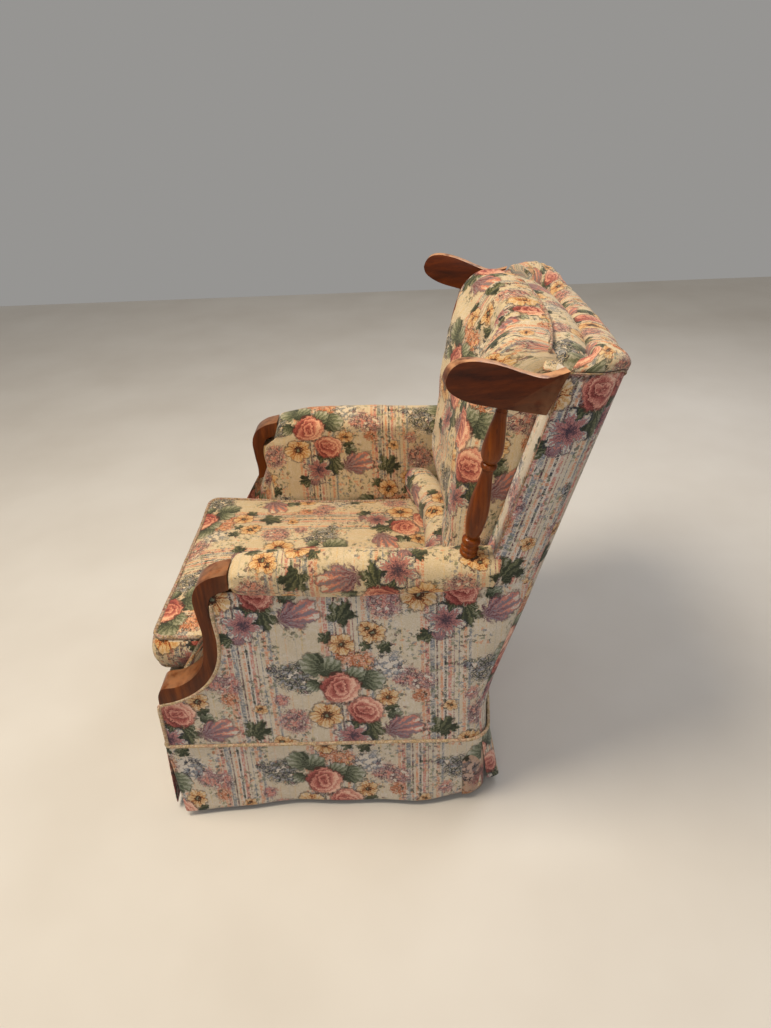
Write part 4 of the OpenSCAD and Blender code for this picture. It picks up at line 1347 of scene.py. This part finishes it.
def make_lumbar():
    rings = []
    n_x = 130
    low, high = 0.383, 0.466
    for i in range(n_x):
        x = -0.274 + 0.548 * i / (n_x - 1)
        front = 0.099 - 0.045 * (x / 0.265) ** 2
        end = math.sqrt(max(0.0, 1 - (abs(x) / 0.2745) ** 14))
        mid_y, ry, rz = front + 0.036, 0.036 * (0.55 + 0.45 * end), (high - low) / 2 * (0.6 + 0.4 * end)
        ring = []
        for k in range(40):
            a = 2 * math.pi * k / 40
            c, s = math.cos(a), math.sin(a)
            wander = 6 * noise(Vector((x * 12, 0, 0)))
            uneven = 0.5 + 0.5 * noise(Vector((x * 20, s, 5)))
            fold = 0.0026 * math.sin(x * 170 + wander) * uneven * max(0.0, -c)
            y = mid_y + (ry + fold) * math.copysign(abs(c) ** 0.85, c)
            z = (low + high) / 2 + (rz + fold * 0.6) * math.copysign(abs(s) ** 0.85, s)
            ring.append(Vector((x, y, z)))
        rings.append(ring)
    arcs = lengths(rings[n_x // 2])
    o = grid("lumbar_roll_soft", rings, lambda i, j: (rings[i % n_x][0].x + 0.10, arcs[min(j, 39)] + 0.05),
             close_columns=True, cap=True)
    crumple(o, 0.05, 0.0018, 2.0)
    modify(o, "SUBSURF", levels=1, render_levels=1)
    apply_all(o)
    dress(o, cloth_in, CHAIR, ["lumbar_roll"])


def make_button():
    n_r, n_a = 12, 40
    rows = []
    for i in range(n_r + 1):
        t = i / n_r
        radius = 0.0140 * math.sin(math.pi / 2 * min(1.0, t * 1.05))
        rise = 0.0062 * math.cos(math.pi / 2 * t)
        rows.append([lean(radius * math.cos(2 * math.pi * k / n_a), -0.032 - rise,
                          BUTTON_Z + radius * math.sin(2 * math.pi * k / n_a))
                     for k in range(n_a)])
    rows.append([lean(0.010 * math.cos(2 * math.pi * k / n_a), -0.024,
                      BUTTON_Z + 0.010 * math.sin(2 * math.pi * k / n_a)) for k in range(n_a)])
    o = grid("tuft_button_soft", rows, lambda i,
             j: (rows[min(i, n_r)][j % n_a].x + 0.1, rows[min(i, n_r)][j % n_a].z), close_columns=True,
             cap=True)
    dress(o, cloth_in, CHAIR, ["tuft_button"])


def make_inside_back():
    rings = []
    for i in range(40):
        x = -0.286 + 0.572 * i / 39
        y = arc_y(0.058, x, BACK_SAG)
        rings.append([lean(x, y, 0.33 + (0.93 - 0.33) * k / 30) for k in range(31)]
                     + [lean(x, y + 0.018, 0.93 - 0.6 * k / 10) for k in range(11)])
    o = grid("inside_back_soft", rings, lambda i, j: (rings[i][0].x, 0.33 + 0.02 * j - 0.6),
             close_columns=True, cap=True)
    dress(o, cloth_in, CHAIR, ["inside_back"])


make_pillow()
make_pillow_top()
make_crest()
make_side_border()
make_outside_back()
make_lumbar()
make_button()
make_inside_back()

# ---------------------------------------------------------------- front border, deck, dust cover

def slab(name, at, n_a, n_b, uv, thickness, offset):
    rows = [[at(i / n_a, j / n_b) for j in range(n_b + 1)] for i in range(n_a + 1)]
    o = grid(name, rows, lambda i, j: uv(rows[i][j]))
    modify(o, "SOLIDIFY", thickness=thickness, offset=offset)
    return apply_all(o)


BORDER_LOW, BORDER_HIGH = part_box("front_border")


def border_point(s, t):
    z = BORDER_LOW.z + (BORDER_HIGH.z - BORDER_LOW.z) * s
    tuck = 0.005 * smooth(0.88, 1.0, s)
    return Vector((BORDER_LOW.x + (BORDER_HIGH.x - BORDER_LOW.x) * t,
                   BORDER_LOW.y - 0.002 * math.sin(math.pi * s) + tuck, z))


o = slab("front_border_soft", border_point, 20, 60, lambda p: (p.x + 0.03, p.z - 0.10), 0.006, -1.0)
dress(o, cloth_out, CHAIR, ["front_border"])

DECK_LOW, DECK_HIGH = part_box("seat_deck")


def deck_point(s, t):
    y = 0.028 + 0.55 * s
    return seat(DECK_LOW.x + (DECK_HIGH.x - DECK_LOW.x) * t, y,
                -0.003 - 0.004 * math.sin(math.pi * s) * math.sin(math.pi * t))


o = slab("seat_deck_soft", deck_point, 30, 30, lambda p: (p.x, p.y), 0.022, -1.0)
dress(o, lining, CHAIR, ["seat_deck"])

DUST_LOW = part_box("dust_cover")[0]


def dust_point(s, t):
    return Vector((-0.335 + 0.67 * t, DUST_LOW.y + (0.195 - DUST_LOW.y) * s,
                   DUST_LOW.z + 0.001 - 0.001 * math.sin(math.pi * s) * math.sin(math.pi * t)))


o = slab("dust_cover_soft", dust_point, 20, 20, lambda p: (p.x, p.y), 0.001, 0.0)
dress(o, black_cloth, CHAIR, ["dust_cover"])

# ---------------------------------------------------------------- skirt

def skirt_sheet(top, bottom, wave, rows=24):
    """A hanging panel between two lines of points, with the soft waves of hanging cloth towards the hem."""
    n = len(top)
    grid_rows = []
    for i in range(rows + 1):
        t = i / rows
        row = []
        for k in range(n):
            p = top[k].lerp(bottom[k], t)
            a, b = top[max(k - 1, 0)], top[min(k + 1, n - 1)]
            out = Vector(((b - a).y, -(b - a).x, 0)).normalized()
            row.append(p + out * wave(k / (n - 1), t))
        grid_rows.append(row)
    return grid_rows


def skirt_panel(name, top, bottom, wave, uv, node, flat):
    rows = skirt_sheet(top, bottom, wave)
    arcs = lengths(rows[0])
    o = grid(name, rows, lambda i, j: uv(arcs[j], rows[i][j]))
    modify(o, "SOLIDIFY", thickness=0.0024, offset=-1.0)
    modify(o, "SUBSURF", levels=1, render_levels=1)
    apply_all(o)
    dress(o, cloth_skirt, CHAIR, node)
    return o


cloth_skirt = tapestry("tapestry_skirt", weave, (0.98, 0.965, 0.95, 1.0), folds=0.6)
SKIRT_H = SKIRT_TOP - HEM
HEM_ALLOWANCE = 0.03                       # turned up and sewn in, assumed
SIDE_FRONT = cad_low.y + 0.014
REAR_CORNER = 0.050
TOP_REAR = 0.2235                          # the skirt's top follows the covers above it


def side_line(z_drop, flare_front, flare_rear, n=70, rear=TOP_REAR):
    """The side panel's line at the top or hem, from its front edge to the slit at the rear corner."""
    outline = rear_outline(HALF_W, rear, REAR_CORNER, BASE_SAG, SIDE_FRONT, 40)
    pts = [p for p in outline[:81] if p[1] < 0.198]
    total = lengths([(x, y, 0) for x, y in pts])
    out = []
    for k in range(n + 1):
        s = total[-1] * k / n
        i = max(j for j in range(len(total)) if total[j] <= s + 1e-9)
        i = min(i, len(pts) - 2)
        f = (s - total[i]) / max(total[i + 1] - total[i], 1e-9)
        x = pts[i][0] + (pts[i + 1][0] - pts[i][0]) * f
        y = pts[i][1] + (pts[i + 1][1] - pts[i][1]) * f
        t = k / n
        flare = flare_front * smooth(0.35, 0.0, t) + flare_rear * smooth(0.75, 1.0, t)
        out.append(Vector((x + flare, y, z_drop)))
    return out


def side_wave(t, down):
    """Outward waves of the side panel: along it, and down it."""
    ripple = 0.0035 * math.sin(t * 9.0 + 0.6) + 0.0022 * math.sin(t * 23.0 + 2.0)
    return down * ripple - 0.0025 * math.sin(math.pi * down)


def make_skirt():
    top = side_line(SKIRT_TOP + 0.002, 0.0, 0.0)
    hem = side_line(HEM, 0.015, -0.012, rear=SKIRT_REAR)
    for p in hem:
        p.y += 0.019 * smooth(SIDE_FRONT + 0.15, SIDE_FRONT, p.y)
        p.z += 0.009 * smooth(0.05, 0.22, p.y)
    flat_side = (lengths(top)[-1] + 0.01, SKIRT_H + HEM_ALLOWANCE)
    o = skirt_panel("skirt_left_soft", top, hem, side_wave, lambda s,
                    p: (SIDE_FRONT + s + 0.120, p.z - 0.068),
                    ["skirt_left"], flat_side)
    twin = mirrored(o, "skirt_right_soft")
    dress(twin, cloth_skirt, CHAIR, ["skirt_right"])

    n = 70
    half = FRAME_HALF - 0.002
    y = SKIRT_FRONT
    top = [Vector((-half + 2 * half * k / n, y, SKIRT_TOP + 0.002)) for k in range(n + 1)]
    hem = [Vector((p.x * 1.012, y - 0.004, HEM)) for p in top]
    skirt_panel("skirt_front_soft", top, hem, lambda t,
                d: d * 0.003 * math.sin(t * 16) + 0.001 * math.sin(math.pi * d),
                lambda s, p: (p.x + 0.03, p.z - 0.125), ["skirt_front"],
                (2 * half + 0.02, SKIRT_H + HEM_ALLOWANCE))

    outline = rear_outline(HALF_W, TOP_REAR, REAR_CORNER, BASE_SAG, -0.2, 40)
    line = sorted([p for p in outline if p[1] > 0.17 and abs(p[0]) < 0.3415], reverse=True)
    top = [Vector((x, y, SKIRT_TOP + 0.002)) for x, y in line]
    turn = 0.292                                  # from here out the panel's ends curl round the corner
    turn_y = min(y for x, y in line if abs(x) < turn)
    hem = []
    for x, y in line:
        out = min(abs(x), turn)
        s = max(0.0, (abs(x) - turn) / (0.3415 - turn))
        back = y if s == 0 else turn_y
        hem.append(Vector((math.copysign(out + 0.014 * math.sin(s * math.pi / 2), x),
                           back + 0.006 + 0.024 * (out / turn) ** 5 - 0.032 * s ** 1.4, HEM + 0.004 * s)))
    skirt_panel("skirt_rear_soft", top, hem, lambda t, d: d * 0.002 * math.sin(t * 19 + 1), lambda s,
                p: (s - 0.33, p.z - 0.125),
                ["skirt_rear"], (lengths(top)[-1] + 0.02, SKIRT_H + HEM_ALLOWANCE))


def make_pleats():
    """Inner pieces behind the four slits."""
    for name, sign in (("left", 1), ("right", -1)):
        path = [(0.292, SKIRT_FRONT + 0.0065), (0.320, SKIRT_FRONT + 0.0065),
                (0.338, SKIRT_FRONT + 0.008), (0.3455, SKIRT_FRONT + 0.014),
                (0.3475, SKIRT_FRONT + 0.026), (0.3475, SKIRT_FRONT + 0.045), (0.3475, SKIRT_FRONT + 0.062)]
        top = [Vector((sign * x, y, SKIRT_TOP - 0.014)) for x, y in path]
        hem = [Vector((sign * (x + 0.001), y, HEM + 0.004)) for x, y in path]
        if sign > 0:
            top.reverse()
            hem.reverse()
        make_pleat(f"pleat_front_{name}", top, hem)
        outline = [p for p in rear_outline(HALF_W - 0.0050, TOP_REAR - 0.005, REAR_CORNER - 0.005,
                                           BASE_SAG, 0.1, 40) if p[1] > 0.155 and p[0] > 0.272]
        top = [Vector((sign * x, y, SKIRT_TOP - 0.014)) for x, y in outline]
        hem = [Vector((sign * x * 0.990, y, HEM + 0.004)) for x, y in outline]
        if sign < 0:
            top.reverse()
            hem.reverse()
        make_pleat(f"pleat_rear_{name}", top, hem)


def make_pleat(name, top, hem):
    rows = skirt_sheet(top, hem, lambda t, d: 0.0008 * d * math.sin(t * 11), rows=16)
    arcs = lengths(rows[0])
    o = grid(name, rows, lambda i, j: (arcs[j] + 0.26, rows[i][j].z - 0.30))
    modify(o, "SOLIDIFY", thickness=0.0018, offset=-1.0)
    apply_all(o)
    dress(o, cloth_pleat, CHAIR, ["corner_pleats"])


def make_skirt_welt():
    outline = rear_outline(HALF_W + 0.0015, TOP_REAR + 0.001, REAR_CORNER, BASE_SAG, cad_low.y + 0.028, 26)
    path = [Vector((x, y, SKIRT_TOP + 0.0045)) for x, y in outline]
    corner = []
    for k in range(7):
        a = math.radians(90 * k / 6)
        corner.append((HALF_W + 0.0015 - 0.012 * (1 - math.cos(a)),
                       SKIRT_FRONT + 0.002 + 0.012 * (1 - math.sin(a))))
    front = [Vector((x, y, SKIRT_TOP + 0.0045)) for x, y in corner]
    right = [Vector((-p.x, p.y, p.z)) for p in front]
    steps = [Vector((-front[-1].x + 2 * front[-1].x * k / 30, SKIRT_FRONT + 0.002, SKIRT_TOP + 0.0045))
             for k in range(1, 30)]
    loop = path + right + steps + list(reversed(front))
    welt = tube("skirt_welt_soft", loop, 0.0034, closed=True)
    dress(welt, cloth_welt, CHAIR, ["skirt_welt"])


# The pleats' dark reddish tint is painted shade of the slits they hang in.
cloth_pleat = tapestry("tapestry_pleat", weave, (0.74, 0.56, 0.50, 1.0))
make_skirt()
make_pleats()
make_skirt_welt()

# ---------------------------------------------------------------- show wood

def finished(name, node, material, width, angle=32):
    """The CAD node's own mesh with rounded edges and smooth faces, as a sanded and lacquered piece."""
    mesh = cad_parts[node].data.copy()
    o = link(name, mesh)
    o.matrix_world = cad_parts[node].matrix_world.copy()
    bm = bmesh.new()
    bm.from_mesh(mesh)
    bmesh.ops.remove_doubles(bm, verts=bm.verts, dist=0.00005)
    bmesh.ops.dissolve_limit(bm, angle_limit=math.radians(1.0), verts=bm.verts, edges=bm.edges)
    bm.to_mesh(mesh)
    bm.free()
    modify(o, "BEVEL", width=width, segments=3, limit_method="ANGLE", angle_limit=math.radians(angle),
           harden_normals=False,
           use_clamp_overlap=True)
    apply_all(o)
    smooth_by_angle(o.data, 38)
    dress(o, material, CHAIR, [node])
    return o


def smooth_by_angle(mesh, degrees):
    """Smooth faces, with sharp edges where two faces meet at more than the angle."""
    bm = bmesh.new()
    bm.from_mesh(mesh)
    for f in bm.faces:
        f.smooth = True
    for e in bm.edges:
        e.smooth = len(e.link_faces) != 2 or e.calc_face_angle(0.0) < math.radians(degrees)
    bm.to_mesh(mesh)
    bm.free()


for side in ("left", "right"):
    finished(f"arm_facing_wood_{side}", f"arm_facing_{side}", wood_arm, 0.0045)
    finished(f"wing_wood_{side}", f"wing_{side}", wood_wing, 0.0035)
    finished(f"spindle_wood_{side}", f"spindle_{side}", wood_turned, 0.0004, angle=60)

# ---------------------------------------------------------------- the frame's own parts

UPRIGHT = ("back_post", "arm_stump")
for name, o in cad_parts.items():
    if o.hide_render:
        continue
    if name.startswith(UPRIGHT):
        finish = timber_up
    elif name.startswith("leg_glides"):
        finish = plastic
    elif name.startswith("leg_"):
        finish = leg_wood
    elif "spring" in name or "screw" in name or "clips" in name:
        finish = steel
    elif "zip" in name:
        finish = brass
    else:
        finish = timber
    if not o.material_slots:
        o.data.materials.append(finish)
    for s in o.material_slots:
        s.material = finish

# ---------------------------------------------------------------- floor, light, camera

def make_floor():
    mesh = bpy.data.meshes.new("floor")
    bm = bmesh.new()
    bmesh.ops.create_grid(bm, x_segments=40, y_segments=40, size=4.0)
    bm.to_mesh(mesh)
    bm.free()
    o = link("floor", mesh)
    m, n, bsdf = surface("floor_pale")
    where = n.node("ShaderNodeTexCoord").outputs["Object"]
    n.put(bsdf.inputs["Base Color"], n.ramp(n.noise(where, 2.5, 3.0),
                                            [(0.3, rgb(206, 200, 192)), (0.7, rgb(214, 209, 202))]))
    bsdf.inputs["Roughness"].default_value = 0.8
    o.data.materials.append(m)


def area_light(name, place, target, size, power, colour):
    light = bpy.data.lights.new(name, "AREA")
    light.shape = "DISK"
    light.size = size
    light.energy = power
    light.color = colour
    o = bpy.data.objects.new(name, light)
    bpy.context.scene.collection.objects.link(o)
    o.location = place
    o.rotation_euler = (Vector(target) - Vector(place)).to_track_quat("-Z", "Y").to_euler()


make_floor()
area_light("key", (0.5, -1.0, 3.0), (0, 0, 0.5), 1.3, 86, (1.0, 0.88, 0.70))
area_light("fill", (2.6, 0.2, 1.7), (0, 0, 0.4), 2.4, 14, (1.0, 0.97, 0.95))
area_light("back", (-1.8, 1.4, 2.2), (0, 0, 0.6), 1.6, 22, (0.95, 0.96, 1.0))
world = bpy.data.worlds.new("studio")
world.use_nodes = True
world.node_tree.nodes["Background"].inputs["Color"].default_value = (0.90, 0.88, 0.85, 1.0)
world.node_tree.nodes["Background"].inputs["Strength"].default_value = 0.34
bpy.context.scene.world = world
bpy.context.scene.view_settings.view_transform = "Standard"

CAMERA_PLACE = Vector((1.44208, 0.05962, 1.29272))
CAMERA_FORWARD = Vector((-0.8709, -0.0267, -0.4907)).normalized()
CAMERA_LEVEL = Vector((-0.0307, 0.9995, 0.0)).normalized()
CAMERA_ROLL = math.radians(-2.639)
CAMERA_LENS = 27.11


def make_camera():
    up = CAMERA_LEVEL.cross(CAMERA_FORWARD).normalized()
    right = math.cos(CAMERA_ROLL) * CAMERA_LEVEL + math.sin(CAMERA_ROLL) * up
    top = -math.sin(CAMERA_ROLL) * CAMERA_LEVEL + math.cos(CAMERA_ROLL) * up
    data = bpy.data.cameras.new("photo_view")
    data.sensor_width = 36.0
    data.sensor_fit = "AUTO"
    data.lens = CAMERA_LENS
    data.clip_start = 0.05
    o = bpy.data.objects.new("photo_view", data)
    bpy.context.scene.collection.objects.link(o)
    turn = Matrix((right, top, -CAMERA_FORWARD)).transposed()
    o.matrix_world = Matrix.Translation(CAMERA_PLACE) @ turn.to_4x4()
    bpy.context.scene.camera = o


make_camera()
